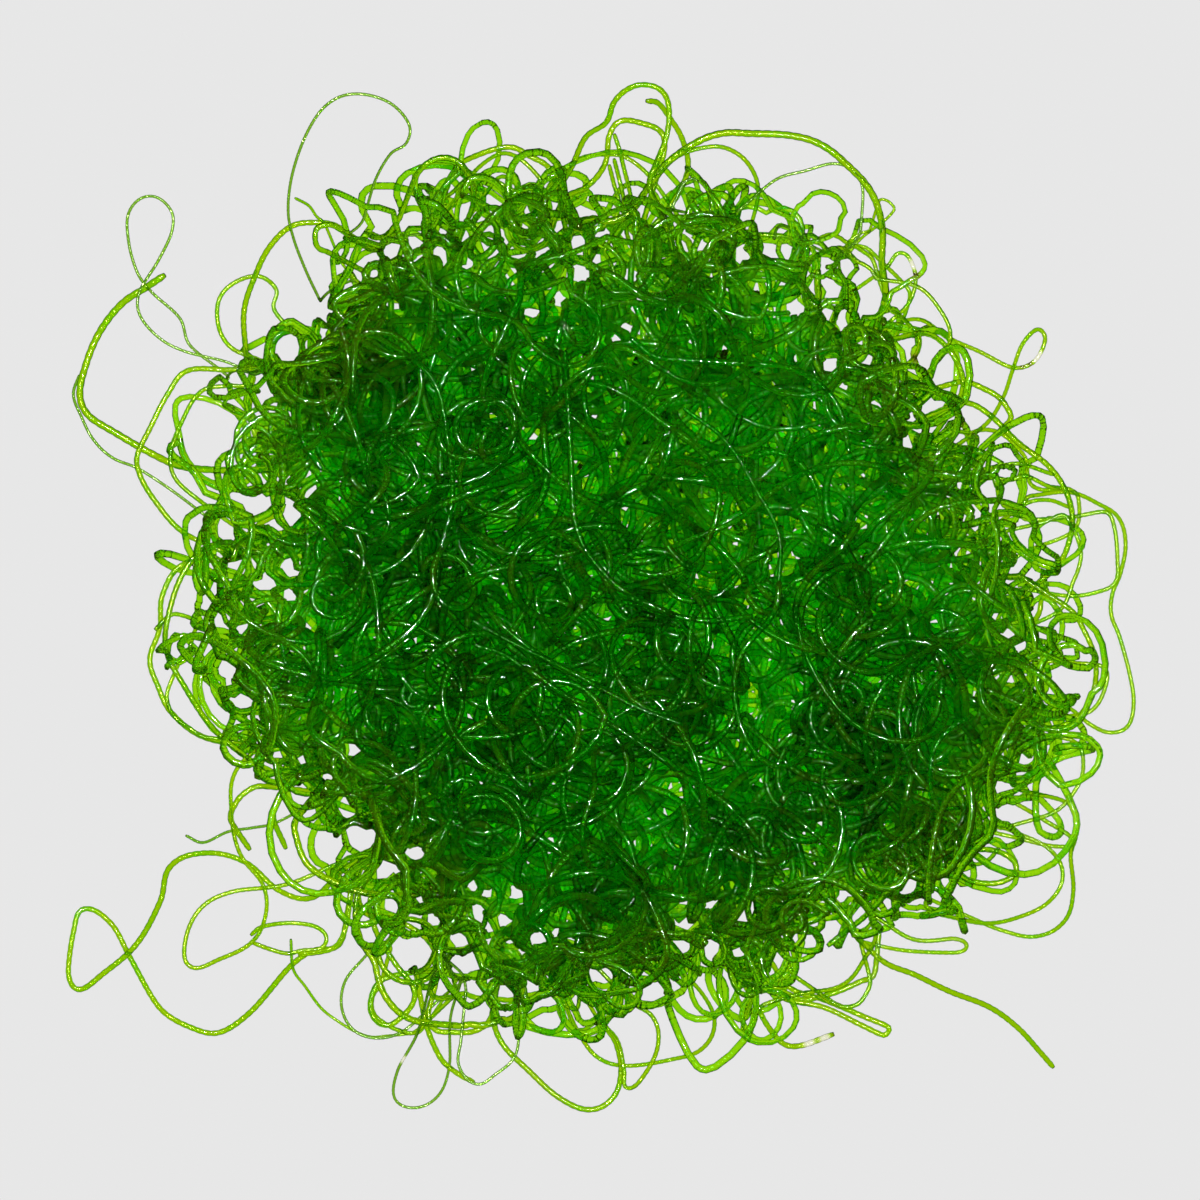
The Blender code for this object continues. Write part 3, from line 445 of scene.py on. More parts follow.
def thinned(route: np.ndarray, turn_limit: float, longest: float) -> np.ndarray:
    """The route with only the points that its bends need.

    Args:
        route: Points close together, one a row.
        turn_limit: How far the line may turn between two kept points, in radians.
        longest: The longest straight piece.

    Returns:
        The kept points.
    """
    steps = np.diff(route, axis=0)
    headings = unit(steps)
    run = np.concatenate(([0.0], np.cumsum(np.linalg.norm(steps, axis=1))))
    limit = math.cos(turn_limit)
    kept = [0]
    for index in range(1, len(route) - 1):
        turned = float(headings[kept[-1]] @ headings[index]) < limit
        if turned or run[index] - run[kept[-1]] > longest:
            kept.append(index)
    kept.append(len(route) - 1)
    return route[kept]


class Tubes:
    """Turns filaments into one mesh of closed tubes that knows the distance along each and its pale-to-deep value,
    which carries painted shade.
    """

    def __init__(self, name: str, strands: list[Strand], roundness: int, material: bpy.types.Material) -> None:
        """Keep what the mesh is made of.

        Args:
            name: The piece's name.
            strands: The filaments in it.
            roundness: 1 for six sides and 2 for eight.
            material: The finish.
        """
        self.name = name
        self.strands = strands
        self.roundness = roundness
        self.sides = 4 + 2 * roundness
        self.material = material

    def build(self) -> bpy.types.Object:
        """Make the piece: a bevelled curve for each filament, turned into one welded mesh.

        Returns:
            The finished object, at the origin.
        """
        line = bpy.data.curves.new(self.name, "CURVE")
        line.dimensions = "3D"
        line.bevel_depth = MM
        line.bevel_resolution = self.roundness
        line.use_fill_caps = True
        for strand in self.strands:
            spline = line.splines.new("POLY")
            spline.points.add(len(strand.points) - 1)
            places = np.column_stack((strand.points * MM, np.ones(len(strand.points))))
            spline.points.foreach_set("co", places.astype(np.float32).ravel())
            spline.points.foreach_set("radius", strand.radii.astype(np.float32))
        line.materials.append(self.material)
        piece = bpy.data.objects.new(self.name, line)
        bpy.context.scene.collection.objects.link(piece)
        pick(piece)
        bpy.ops.object.convert(target="MESH")
        piece = bpy.context.view_layer.objects.active
        self._write_attributes(piece.data)
        bpy.ops.object.mode_set(mode="EDIT")
        bpy.ops.mesh.select_all(action="SELECT")
        bpy.ops.mesh.remove_doubles(threshold=1e-7)
        bpy.ops.object.mode_set(mode="OBJECT")
        bpy.ops.object.shade_smooth()
        deselect_all()
        return piece

    def _write_attributes(self, mesh: bpy.types.Mesh) -> None:
        """Store marks, distance along, the pale-to-deep value with its painted shade, and a map of each tube, by the
        order in which a curve makes its rings.

        Args:
            mesh: The mesh, whose end rings come first and whose tubes follow, ring after ring.
        """
        along, tone_and_shade, row = [], [], []
        for index, strand in reversed(list(enumerate(self.strands))):
            run = strand.along()
            along += [run[-1]] * self.sides + [0.0] * self.sides
            tone_and_shade += [strand.tones_and_shade[-1]] * self.sides + [strand.tones_and_shade[0]] * self.sides
            row += [index] * 2 * self.sides
        runs = [strand.along() for strand in self.strands]
        counts = [len(run) * self.sides for run in runs]
        along = np.concatenate([along] + [np.repeat(run, self.sides) for run in runs])
        tone_and_shade = np.concatenate([tone_and_shade] + [np.repeat(strand.tones_and_shade, self.sides) for strand in self.strands])
        row = np.concatenate([row] + [np.full(n, index) for index, n in enumerate(counts)]).astype(int)
        if len(along) != len(mesh.vertices):
            raise ValueError(f"{self.name}: {len(mesh.vertices)} points where {len(along)} were expected")
        places = np.empty(3 * len(mesh.vertices), np.float32)
        mesh.vertices.foreach_get("co", places)
        places = places.reshape(-1, 3) / MM
        marks = sum(mark.at(places) for mark in MARKS)
        for name, values in (("along", along), ("tone_and_shade", tone_and_shade), ("mark", np.clip(marks, -1.0, 1.0))):
            layer = mesh.attributes.new(name, "FLOAT", "POINT")
            layer.data.foreach_set("value", values.astype(np.float32))
        corners = np.empty(len(mesh.loops), np.int32)
        mesh.loops.foreach_get("vertex_index", corners)
        totals = np.empty(len(mesh.polygons), np.int32)
        mesh.polygons.foreach_get("loop_total", totals)
        owner = np.repeat(np.arange(len(totals)), totals)
        around = (np.arange(len(along)) % self.sides)[corners]
        lowest = np.full(len(totals), self.sides)
        highest = np.zeros(len(totals), int)
        np.minimum.at(lowest, owner, around)
        np.maximum.at(highest, owner, around)
        wraps = (lowest[owner] == 0) & (highest[owner] == self.sides - 1) & (totals[owner] == 4)
        around = np.where(wraps & (around == 0), self.sides, around) / self.sides
        longest = np.array([run[-1] for run in runs])
        across = along[corners] / longest[row[corners]]
        upward = (row[corners] + 0.05 + 0.9 * around) / len(self.strands)
        chart = mesh.uv_layers[0] if mesh.uv_layers else mesh.uv_layers.new()
        chart.name = "OFBake"
        chart.data.foreach_set("uv", np.column_stack((across, upward)).astype(np.float32).ravel())


@dataclass(frozen=True)
class Openings:
    """Round places of the tangle, seen from above, that filaments keep out of."""

    crossing: float
    places: tuple[tuple[float, float, float], ...]


# Each place is x, y and radius. The floor shows through the holes; a filament or two cross a thin place.
HOLES = Openings(0.03, (
    (30.7, 15.8, 0.5), (36.2, 16.0, 0.35), (40.6, 14.6, 0.9), (41.8, 13.0, 0.5), (40.3, 12.5, 0.4), (43.8, 13.2, 0.8),
    (41.5, 11.0, 1.0), (38.6, 10.9, 0.5), (37.7, 8.7, 0.45), (42.0, 7.0, 1.0), (44.0, 9.0, 0.9), (45.5, 5.4, 0.9),
    (46.6, 2.8, 0.6), (41.7, 2.9, 0.3), (43.4, 0.9, 0.4), (43.7, 2.2, 0.3), (39.8, -1.6, 0.35), (40.6, -3.4, 0.45),
    (42.2, -4.7, 0.4), (47.2, -3.2, 0.5), (48.4, -5.8, 0.5), (48.2, -8.2, 1.1), (46.3, -7.3, 0.3), (25.4, 39.3, 0.4),
    (26.5, 39.2, 0.4), (24.9, 37.7, 0.35), (23.8, 35.8, 0.3), (27.0, 36.2, 0.6), (28.6, 39.1, 0.5), (22.8, 33.7, 0.4),
    (24.5, 33.4, 0.5), (23.0, 31.2, 0.5), (26.6, 31.6, 1.2), (26.8, 29.6, 1.0), (28.8, 31.6, 0.5), (30.3, 33.2, 0.8),
    (24.4, 27.9, 0.6), (22.8, 28.3, 0.5), (30.6, 26.0, 0.8), (32.5, 29.0, 0.7), (33.0, 26.0, 0.8), (34.2, 22.5, 1.2),
    (23.0, 23.6, 0.9), (26.4, 23.8, 0.5), (24.6, 21.2, 0.4), (27.4, 19.7, 0.3), (36.8, 18.8, 0.7), (-4.2, 39.0, 0.4),
    (-1.2, 38.9, 0.4), (4.2, 38.9, 0.4), (5.5, 37.7, 0.4), (-4.0, 37.3, 0.7), (-2.1, 35.9, 0.7), (0.2, 36.4, 0.5),
    (8.3, 35.6, 0.6), (10.1, 35.5, 0.6), (14.6, 34.7, 0.6), (14.9, 38.3, 0.7), (17.1, 38.2, 0.5), (19.5, 40.5, 0.5),
    (16.5, 35.0, 0.6), (18.6, 34.9, 0.6), (21.3, 39.3, 0.5), (22.3, 37.5, 1.0), (-1.9, 32.6, 0.7), (-0.2, 34.1, 0.35),
    (-4.0, 30.1, 0.7), (2.9, 27.2, 0.5), (1.5, 26.1, 0.3), (19.8, 29.2, 0.3), (0.7, 41.8, 1.0), (-33.7, 31.3, 0.5),
    (-33.5, 28.6, 0.6), (-29.5, 30.8, 0.4), (-27.6, 32.0, 0.35), (-31.2, 25.2, 1.35), (-30.1, 28.8, 0.7),
    (-27.6, 29.0, 0.6), (-27.3, 26.6, 0.35), (-33.2, 27.0, 0.3), (-34.2, 24.9, 0.4), (-27.2, 35.9, 0.6),
    (-24.1, 32.9, 0.45), (-22.6, 34.3, 0.5), (-22.4, 32.4, 0.45), (-21.0, 34.8, 0.6), (-22.3, 37.8, 0.6),
    (-18.9, 38.2, 1.0), (-18.2, 35.6, 0.5), (-17.9, 34.4, 0.35), (-16.1, 34.8, 0.5), (-15.6, 36.9, 0.55),
    (-13.8, 36.4, 0.5), (-13.0, 33.6, 0.4), (-11.4, 37.3, 0.65), (-10.9, 34.6, 0.35), (-16.6, 41.9, 0.6),
    (-13.9, 41.8, 0.4), (-9.0, 36.1, 0.5), (-7.5, 37.0, 0.4), (-8.0, 34.8, 0.9), (-6.0, 35.2, 0.7), (-8.8, 32.4, 0.35),
    (-6.8, 28.8, 0.5), (-36.6, 25.9, 0.5), (-38.7, 23.1, 0.5), (-38.0, 21.0, 0.45), (-36.5, 22.0, 0.35),
    (-34.2, 21.9, 0.3), (-33.3, 20.5, 0.4), (-38.8, 16.2, 2.6), (-32.5, 14.8, 0.5), (-29.4, 10.9, 0.55),
    (-41.5, 10.5, 1.2), (-40.4, 7.5, 0.5), (-37.4, 7.5, 1.0), (-35.9, 10.3, 0.35), (-34.4, 9.4, 0.5), (-32.9, 10.0, 0.5),
    (-31.0, 8.7, 0.9), (-31.0, 3.2, 0.9), (-36.6, 3.6, 0.35), (-33.3, 2.0, 0.5), (-31.0, 0.6, 0.4), (-42.6, 1.5, 0.4),
    (-41.2, 0.2, 0.6), (-39.2, -0.3, 0.6), (-38.0, -2.0, 0.5), (-35.8, -3.0, 0.4), (-41.8, -2.4, 0.6), (-42.2, -5.2, 0.5),
    (-37.4, -7.0, 1.35), (-44.0, -6.3, 0.6), (-41.0, -7.0, 0.6), (-40.0, -9.0, 0.6), (-35.8, -10.1, 0.75),
    (-40.3, -12.0, 0.5), (-37.8, -11.8, 0.7), (-32.0, -15.3, 0.5), (-33.2, -16.6, 0.3), (-35.4, -17.7, 0.7),
    (-29.8, -15.8, 0.25), (-36.7, -19.3, 0.5), (-34.5, -20.2, 1.0), (-29.5, -18.6, 0.4), (-27.2, -17.8, 0.35),
    (-24.6, -14.9, 0.5), (-25.2, -20.8, 0.8), (-24.3, -23.6, 0.9), (-27.2, -25.0, 1.2), (-22.8, -23.9, 0.4),
    (-21.3, -26.9, 0.9), (-18.3, -25.1, 0.7), (-18.0, -29.7, 0.35), (-12.8, -28.8, 0.7), (-11.5, -29.5, 0.5),
    (-8.3, -29.5, 0.7), (-12.0, -30.9, 0.4), (-20.9, -30.5, 0.8), (-18.5, -32.0, 0.7), (-16.8, -32.0, 0.6),
    (-14.1, -33.8, 0.9), (-18.6, -35.3, 1.75), (-13.1, -36.2, 1.1), (-8.9, -34.3, 0.4), (-6.1, -33.8, 0.7),
    (-7.8, -35.2, 0.4), (-21.2, -36.3, 0.8), (-20.1, -39.3, 1.1), (-21.5, -40.6, 0.8), (-13.0, -38.9, 0.7),
    (-15.9, -41.0, 0.6), (-14.2, -42.2, 0.6), (-12.3, -41.6, 0.9), (-9.4, -39.2, 0.8), (-9.3, -41.5, 0.6),
    (-7.0, -38.6, 0.6), (-5.4, -40.2, 0.6), (-19.8, -42.3, 0.5), (-9.2, -43.2, 0.5), (0.4, -37.5, 1.0),
    (8.0, -32.3, 0.35), (9.1, -32.4, 0.3), (8.2, -34.4, 0.45), (11.2, -35.2, 0.9), (13.6, -35.2, 0.4), (11.0, -30.2, 0.6),
    (-4.4, -33.3, 0.35), (-3.0, -33.7, 0.3), (6.2, -39.0, 0.3), (7.5, -38.9, 0.3), (-1.4, -41.2, 0.6), (42.2, -16.1, 0.4),
    (39.8, -18.8, 0.4), (44.8, -19.2, 0.6), (40.2, -21.2, 0.65), (41.7, -20.8, 0.35), (39.5, -23.4, 0.3),
    (42.9, -23.0, 0.4), (30.8, -28.8, 0.6), (31.6, -30.2, 0.5), (33.4, -29.5, 0.5), (35.5, -29.0, 0.35),
    (37.2, -29.6, 0.6), (36.9, -30.9, 0.6), (26.0, -32.0, 0.6), (28.3, -32.1, 0.35), (29.8, -32.2, 0.35),
    (24.4, -30.0, 0.4), (29.4, -33.8, 0.6), (32.4, -32.7, 0.6), (34.8, -32.3, 0.8), (24.9, -34.4, 0.7),
    (22.8, -34.7, 0.35), (25.8, -37.0, 0.8), (21.7, -36.6, 0.5), (29.0, -35.6, 0.5), (21.0, -38.2, 1.0),
))
THIN_PLACES = Openings(0.35, (
    (27.3, 13.0, 0.7), (27.6, 9.6, 0.6), (37.3, 6.7, 1.0), (33.8, 4.2, 0.8), (36.4, 4.5, 0.6), (36.6, 9.3, 0.5),
    (33.3, -2.2, 0.5), (31.2, 17.3, 0.6), (33.7, 18.3, 1.1), (6.8, 27.6, 1.1), (15.7, 26.8, 0.6), (13.1, 25.4, 0.5),
    (-4.3, 28.8, 0.6), (-2.6, 27.8, 0.4), (3.8, 28.8, 0.5), (8.7, 28.2, 0.5), (15.4, 31.1, 0.5), (3.1, 32.6, 0.4),
    (-3.8, 32.4, 0.5), (4.2, 26.5, 0.7), (7.4, 10.3, 0.6), (10.5, 9.9, 0.6), (7.3, 6.8, 0.5), (10.7, 2.1, 0.6),
    (2.3, 8.4, 0.3), (4.0, 9.9, 0.4), (7.4, -0.1, 0.5), (-7.0, 16.5, 0.6), (4.8, 16.8, 0.7), (-6.2, 6.0, 0.6),
    (-24.8, 6.0, 0.4), (-17.0, 11.2, 0.5), (17.8, 3.5, 1.2), (-7.0, 23.6, 0.7), (-10.6, 18.0, 0.6), (1.5, -10.5, 0.6),
    (15.0, -9.7, 0.5), (8.8, -19.0, 0.4), (7.0, -21.0, 0.5), (22.0, -23.2, 0.6), (-0.1, -22.6, 0.5), (26.0, 8.0, 0.6),
    (26.0, -27.0, 0.8), (18.6, -26.5, 0.4), (38.2, -26.2, 0.4), (41.2, -19.2, 0.5), (34.0, -28.2, 0.5),
    (12.8, -28.5, 0.7), (14.3, -31.0, 0.9), (12.2, -33.0, 0.4), (0.8, -32.5, 0.4), (-3.8, -31.4, 0.6),
    (-3.4, -28.8, 0.4), (5.7, -27.6, 0.4), (-31.0, -12.8, 0.4), (-26.0, -13.4, 0.45), (-26.6, -9.5, 0.4),
    (-25.0, -9.1, 0.4), (-28.6, -2.7, 0.4), (-34.1, -8.3, 0.3), (-33.3, -10.5, 0.4), (-11.3, -32.1, 0.3),
    (-9.9, -32.1, 0.35), (-17.2, -27.4, 0.6), (-20.6, 29.0, 0.6), (-13.8, 38.6, 0.9), (-32.4, 13.0, 0.5),
))
CLEARINGS = Openings(0.93, (
    (12.0, 6.5, 4.0), (6.0, 15.0, 4.5), (-6.0, 26.0, 4.0), (7.0, 26.0, 4.0), (16.0, 27.0, 4.0), (26.0, 13.0, 3.5),
    (-12.0, 30.0, 3.0), (-33.0, 15.0, 2.5), (-34.0, 1.0, 3.0), (22.0, 20.0, 3.0),
))


class MatForm:
    """The outer form of the tangle, read from the frame's own solid as distances on a grid."""

    SPACING = 2.0
    SPARE = 8.0
    WIDEST_HEIGHT = 15.0
    # How far inside the outline filaments stay pale, and over what depth they turn to the darker green that is painted
    # as shade.
    PALE_DEPTH = 1.5
    SHADE_DEEPENING = 11.0
    HALF_FILAMENT = 0.35
    NARROWING = 0.95
    NEAREST_PASS = 0.7
    PASS_RANGE = 0.75

    def __init__(self, openings: tuple[Openings, ...]) -> None:
        """Measure the solid.

        Args:
            openings: The open places of each kind.
        """
        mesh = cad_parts[MAT_NODE].data
        corners = [vert.co / MM for vert in mesh.vertices]
        mesh.calc_loop_triangles()
        faces = [tuple(triangle.vertices) for triangle in mesh.loop_triangles]
        tree = BVHTree.FromPolygons(corners, faces)
        lowest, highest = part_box(MAT_NODE)
        self.low = np.array(lowest) / MM - self.SPARE
        self.high = np.array(highest) / MM + self.SPARE
        self.shape = np.ceil((self.high - self.low) / self.SPACING).astype(int) + 1
        self.distances = np.empty(self.shape)
        for index in np.ndindex(*self.shape):
            place = Vector(self.low + np.array(index) * self.SPACING)
            nearest, normal, _, apart = tree.find_nearest(place)
            self.distances[index] = apart if (place - nearest).dot(normal) > 0.0 else -apart
        self.slopes = np.stack(np.gradient(self.distances, self.SPACING), axis=-1)
        widest = int(round((self.WIDEST_HEIGHT - self.low[2]) / self.SPACING))
        self.plan_distances = np.repeat(self.distances[:, :, widest : widest + 1], self.shape[2], axis=2)
        places = np.array([place for kind in openings for place in kind.places])
        self.open_middles = places[:, :2]
        self.open_radii = places[:, 2] * self.NARROWING + self.HALF_FILAMENT
        self.crossing = np.array([kind.crossing for kind in openings for _ in kind.places])

    def _blend(self, grid: np.ndarray, places: np.ndarray) -> np.ndarray:
        """Values of a grid between its points.

        Args:
            grid: Numbers or vectors at the grid's points.
            places: Where to read it, one place a row.

        Returns:
            One value or vector for each place.
        """
        cells = np.clip((places - self.low) / self.SPACING, 0.0, np.array(self.shape) - 1.001)
        base = cells.astype(int)
        share = cells - base
        total = 0.0
        for corner in np.ndindex(2, 2, 2):
            weight = np.prod(np.where(corner, share, 1.0 - share), axis=1)
            values = grid[tuple((base + corner).T)]
            total = total + (weight[:, None] * values if values.ndim > 1 else weight * values)
        return total

    def depth_in_plan(self, places: np.ndarray) -> np.ndarray:
        """How far inside the tangle's outline each place is, seen from above, and below zero outside it."""
        return -self._blend(self.plan_distances, places)

    def tones_and_shade(self, places: np.ndarray, own: float) -> np.ndarray:
        """The values along a filament: pale in the open fringe and deep in the thick of the tangle, where the darker
        green is painted shade for the many overlapping layers.

        Args:
            places: The filament's points.
            own: What the filament adds of its own.

        Returns:
            A tone for each point.
        """
        share = np.clip((self.depth_in_plan(places) - self.PALE_DEPTH) / self.SHADE_DEEPENING, 0.0, 1.0)
        return np.clip(share * share * (3.0 - 2.0 * share) + own, 0.0, 1.0)

    def read(self, places: np.ndarray) -> tuple[np.ndarray, np.ndarray]:
        """How far outside the allowed room each place is, and which way leads out.

        Args:
            places: Places in millimetres, one a row.

        Returns:
            Distances, below zero inside, and unit directions.
        """
        return self._blend(self.distances, places), unit(self._blend(self.slopes, places))

    def openings_at(self, places: np.ndarray, boldness: np.ndarray) -> tuple[np.ndarray, np.ndarray]:
        """How far inside the nearest opening each place is, and which way leads to its middle.

        Args:
            places: Places in millimetres, one a row.
            boldness: For each place, a share; openings that more filaments than this cross are left out, and the
                others are passed at a greater distance the greater it is.

        Returns:
            Distances, below zero outside, and level unit directions.
        """
        apart = self.open_middles[None, :, :] - places[:, None, :2]
        reach = np.linalg.norm(apart, axis=2)
        radii = self.open_radii[None, :] * (self.NEAREST_PASS + self.PASS_RANGE * boldness[:, None])
        inside = np.where(self.crossing[None, :] > boldness[:, None], -self.SPARE, radii - reach)
        nearest = inside.argmax(axis=1)
        rows = np.arange(len(places))
        towards = apart[rows, nearest] / np.maximum(reach[rows, nearest, None], 1e-6)
        return inside[rows, nearest], np.column_stack((towards, np.zeros(len(places))))


@dataclass(frozen=True)
class Habit:
    """How one kind of filament grows: how many, how long, in what loops, and where they start."""

    name: str
    count: int
    length: float
    bend_radius: float
    bend_spread: float = 0.42
    flatness: float = 0.035
    overshoot: float = 1.3
    least_depth: float = 1.5
    most_depth: float = 99.0
    boldness: tuple[float, float] = (0.0, 1.0)


@dataclass(frozen=True)
class Thicket:
    """A place where filaments are packed into a tight knot, so that little light comes through."""

    x: float
    y: float
    height: float
    spread: float
    count: int


THICKETS = (
    Thicket(-22.0, 19.0, 14.0, 4.0, 16), Thicket(-19.0, -8.0, 20.0, 4.0, 8), Thicket(-10.0, -13.0, 18.0, 3.5, 8),
    Thicket(24.0, -7.0, 18.0, 5.0, 9), Thicket(28.0, -16.0, 16.0, 4.0, 9), Thicket(12.0, -22.0, 18.0, 4.0, 8),
    Thicket(7.0, -9.0, 18.0, 4.0, 6), Thicket(-14.0, 15.0, 18.0, 4.0, 6), Thicket(18.0, -30.0, 14.0, 3.0, 5),
    Thicket(31.0, -22.0, 12.0, 3.0, 5), Thicket(5.0, -30.0, 15.0, 3.0, 4), Thicket(-22.0, 6.0, 18.0, 4.0, 5),
)


@dataclass
class Growth:
    """How filaments wander as they grow: in loops of changing size, inside the tangle's form, round its openings."""

    form: MatForm
    random: np.random.Generator
    step: float = 0.5
    bend_memory: float = 9.0
    twist: float = 0.16
    margin: float = 2.2
    floor_gap: float = 0.4
    wary_reach: float = 1.1
    push_out: float = 0.45
    unevenness: float = 1.6

    def grow(self, habit: Habit, starts: np.ndarray, headings: np.ndarray) -> np.ndarray:
        """Grow filaments from the starts.

        Args:
            habit: How they grow.
            starts: The first point of each filament.
            headings: The direction in which each sets off.

        Returns:
            An array of filament, point and coordinate.
        """
        count = len(starts)
        place = starts.astype(float).copy()
        heading = unit(headings.astype(float))
        axis = self.random.normal(size=(count, 3)) + UP * self.random.choice((-1.5, 1.5), (count, 1))
        spread = self.random.normal(0.0, habit.bend_spread, count)
        drift = math.exp(-self.step / self.bend_memory)
        fresh = math.sqrt(1.0 - drift**2)
        twisting = self.random.normal(0.0, self.twist, count)
        boldness = self.random.uniform(*habit.boldness, count)
        overshoot = habit.overshoot + self.random.normal(0.0, self.unevenness, count)
        trail = [place.copy()]
        for _ in range(int(habit.length / self.step)):
            spread = spread * drift + self.random.normal(0.0, habit.bend_spread * fresh, count)
            twisting = twisting * drift + self.random.normal(0.0, self.twist * fresh, count)
            distance, outward = self.form.read(place)
            press = np.clip(1.0 + (distance - overshoot) / self.margin, 0.0, 2.0)[:, None]
            leaving = (heading * outward).sum(axis=1, keepdims=True)
            heading = heading - outward * np.maximum(leaving + 0.12 * press, 0.0) * press * 0.45 * self.step
            heading = unit(heading)
            axis = axis + press * np.cross(heading, -outward) * 0.35 * self.step
            axis = axis + UP * np.sign(axis[:, 2:3]) * habit.flatness * self.step
            axis = axis + np.cross(heading, axis) * (twisting * self.step)[:, None]
            axis = unit(axis - heading * (axis * heading).sum(axis=1, keepdims=True))
            turn = (self.step / (habit.bend_radius * np.exp(spread)))[:, None]
            heading = unit(heading * np.cos(turn) + np.cross(axis, heading) * np.sin(turn))
            place = place + heading * self.step
            inside, towards = self.form.openings_at(place, boldness)
            wary = np.clip(1.0 + inside / self.wary_reach, 0.0, 1.0)[:, None]
            entering = np.maximum((heading * towards).sum(axis=1, keepdims=True), 0.0)
            heading = unit(heading - towards * entering * wary**2)
            place = place - towards * np.maximum(inside, 0.0)[:, None] * self.push_out
            place[:, 2] = np.maximum(place[:, 2], self.floor_gap)
            trail.append(place.copy())
        return np.stack(trail, axis=1)


def noise_node(nodes: bpy.types.Nodes, scale: float, detail: float) -> bpy.types.Node:
    """A noise texture.

    Args:
        nodes: The tree's nodes.
        scale: How many features there are to a metre.
        detail: How many octaves it has.

    Returns:
        The new node.
    """
    made = nodes.new("ShaderNodeTexNoise")
    made.inputs["Scale"].default_value = scale
    made.inputs["Detail"].default_value = detail
    return made


def math_node(tree: bpy.types.NodeTree, operation: str, first: object, second: object = 0.0) -> bpy.types.NodeSocket:
    """One sum on numbers or sockets.

    Args:
        tree: The tree that the node goes in.
        operation: The name of the sum.
        first: A number or an output socket.
        second: A number or an output socket.

    Returns:
        The output socket.
    """
    made = tree.nodes.new("ShaderNodeMath")
    made.operation = operation
    for socket, value in zip(made.inputs, (first, second)):
        if isinstance(value, bpy.types.NodeSocket):
            tree.links.new(value, socket)
        else:
            socket.default_value = value
    return made.outputs[0]


def mix_node(tree: bpy.types.NodeTree, share: object, first: object, second: object) -> bpy.types.NodeSocket:
    """A mix of two colours.

    Args:
        tree: The tree that the node goes in.
        share: The output socket that gives the second colour's share, kept between 0 and 1.
        first: A colour or an output socket.
        second: A colour or an output socket.

    Returns:
        The output socket.
    """
    made = tree.nodes.new("ShaderNodeMix")
    made.data_type = "RGBA"
    made.clamp_factor = True
    tree.links.new(share, made.inputs[0])
    for socket, value in zip((made.inputs[6], made.inputs[7]), (first, second)):
        if isinstance(value, bpy.types.NodeSocket):
            tree.links.new(value, socket)
        else:
            socket.default_value = value
    return made.outputs[2]


class CellRelief:
    """The barrel shape of a filament's cells, as a height and a mask of the joints between them."""

    NAME = "cell_relief"

    @classmethod
    def group(cls) -> bpy.types.NodeTree:
        """The node group, built once."""
        found = bpy.data.node_groups.get(cls.NAME)
        return found or cls._build()

    @classmethod
    def _build(cls) -> bpy.types.NodeTree:
        """Make the group.

        Returns:
            A tree that takes the distance along and the cells' length, both in millimetres.
        """
        tree = bpy.data.node_groups.new(cls.NAME, "ShaderNodeTree")
        face = tree.interface
        face.new_socket(name="Along", in_out="INPUT", socket_type="NodeSocketFloat")
        face.new_socket(name="Cell Length", in_out="INPUT", socket_type="NodeSocketFloat")
        face.new_socket(name="Waviness", in_out="INPUT", socket_type="NodeSocketFloat")
        face.new_socket(name="Height", in_out="OUTPUT", socket_type="NodeSocketFloat")
        face.new_socket(name="Joint", in_out="OUTPUT", socket_type="NodeSocketFloat")
        given = tree.nodes.new("NodeGroupInput")
        result = tree.nodes.new("NodeGroupOutput")
        uneven = noise_node(tree.nodes, 0.35, 1.0)
        uneven.noise_dimensions = "1D"
        tree.links.new(given.outputs["Along"], uneven.inputs["W"])
        cells = math_node(tree, "DIVIDE", given.outputs["Along"], given.outputs["Cell Length"])
        shifted = math_node(tree, "ADD", cells, math_node(tree, "MULTIPLY", uneven.outputs[0], 2.4))
        share = math_node(tree, "FRACT", shifted)
        centred = math_node(tree, "ABSOLUTE", math_node(tree, "MULTIPLY_ADD", share, 2.0))
        centred.node.inputs[0].links[0].from_node.inputs[2].default_value = -1.0
        barrel = math_node(tree, "SUBTRACT", 1.0, math_node(tree, "POWER", centred, 2.0))
        joint = math_node(tree, "POWER", centred, 6.0)
        waves = noise_node(tree.nodes, 2.0, 0.0)
        waves.noise_dimensions = "1D"
        tree.links.new(given.outputs["Along"], waves.inputs["W"])
        wavy = math_node(tree, "MULTIPLY", waves.outputs[0], given.outputs["Waviness"])
        tree.links.new(math_node(tree, "ADD", barrel, wavy), result.inputs["Height"])
        tree.links.new(joint, result.inputs["Joint"])
        return tree


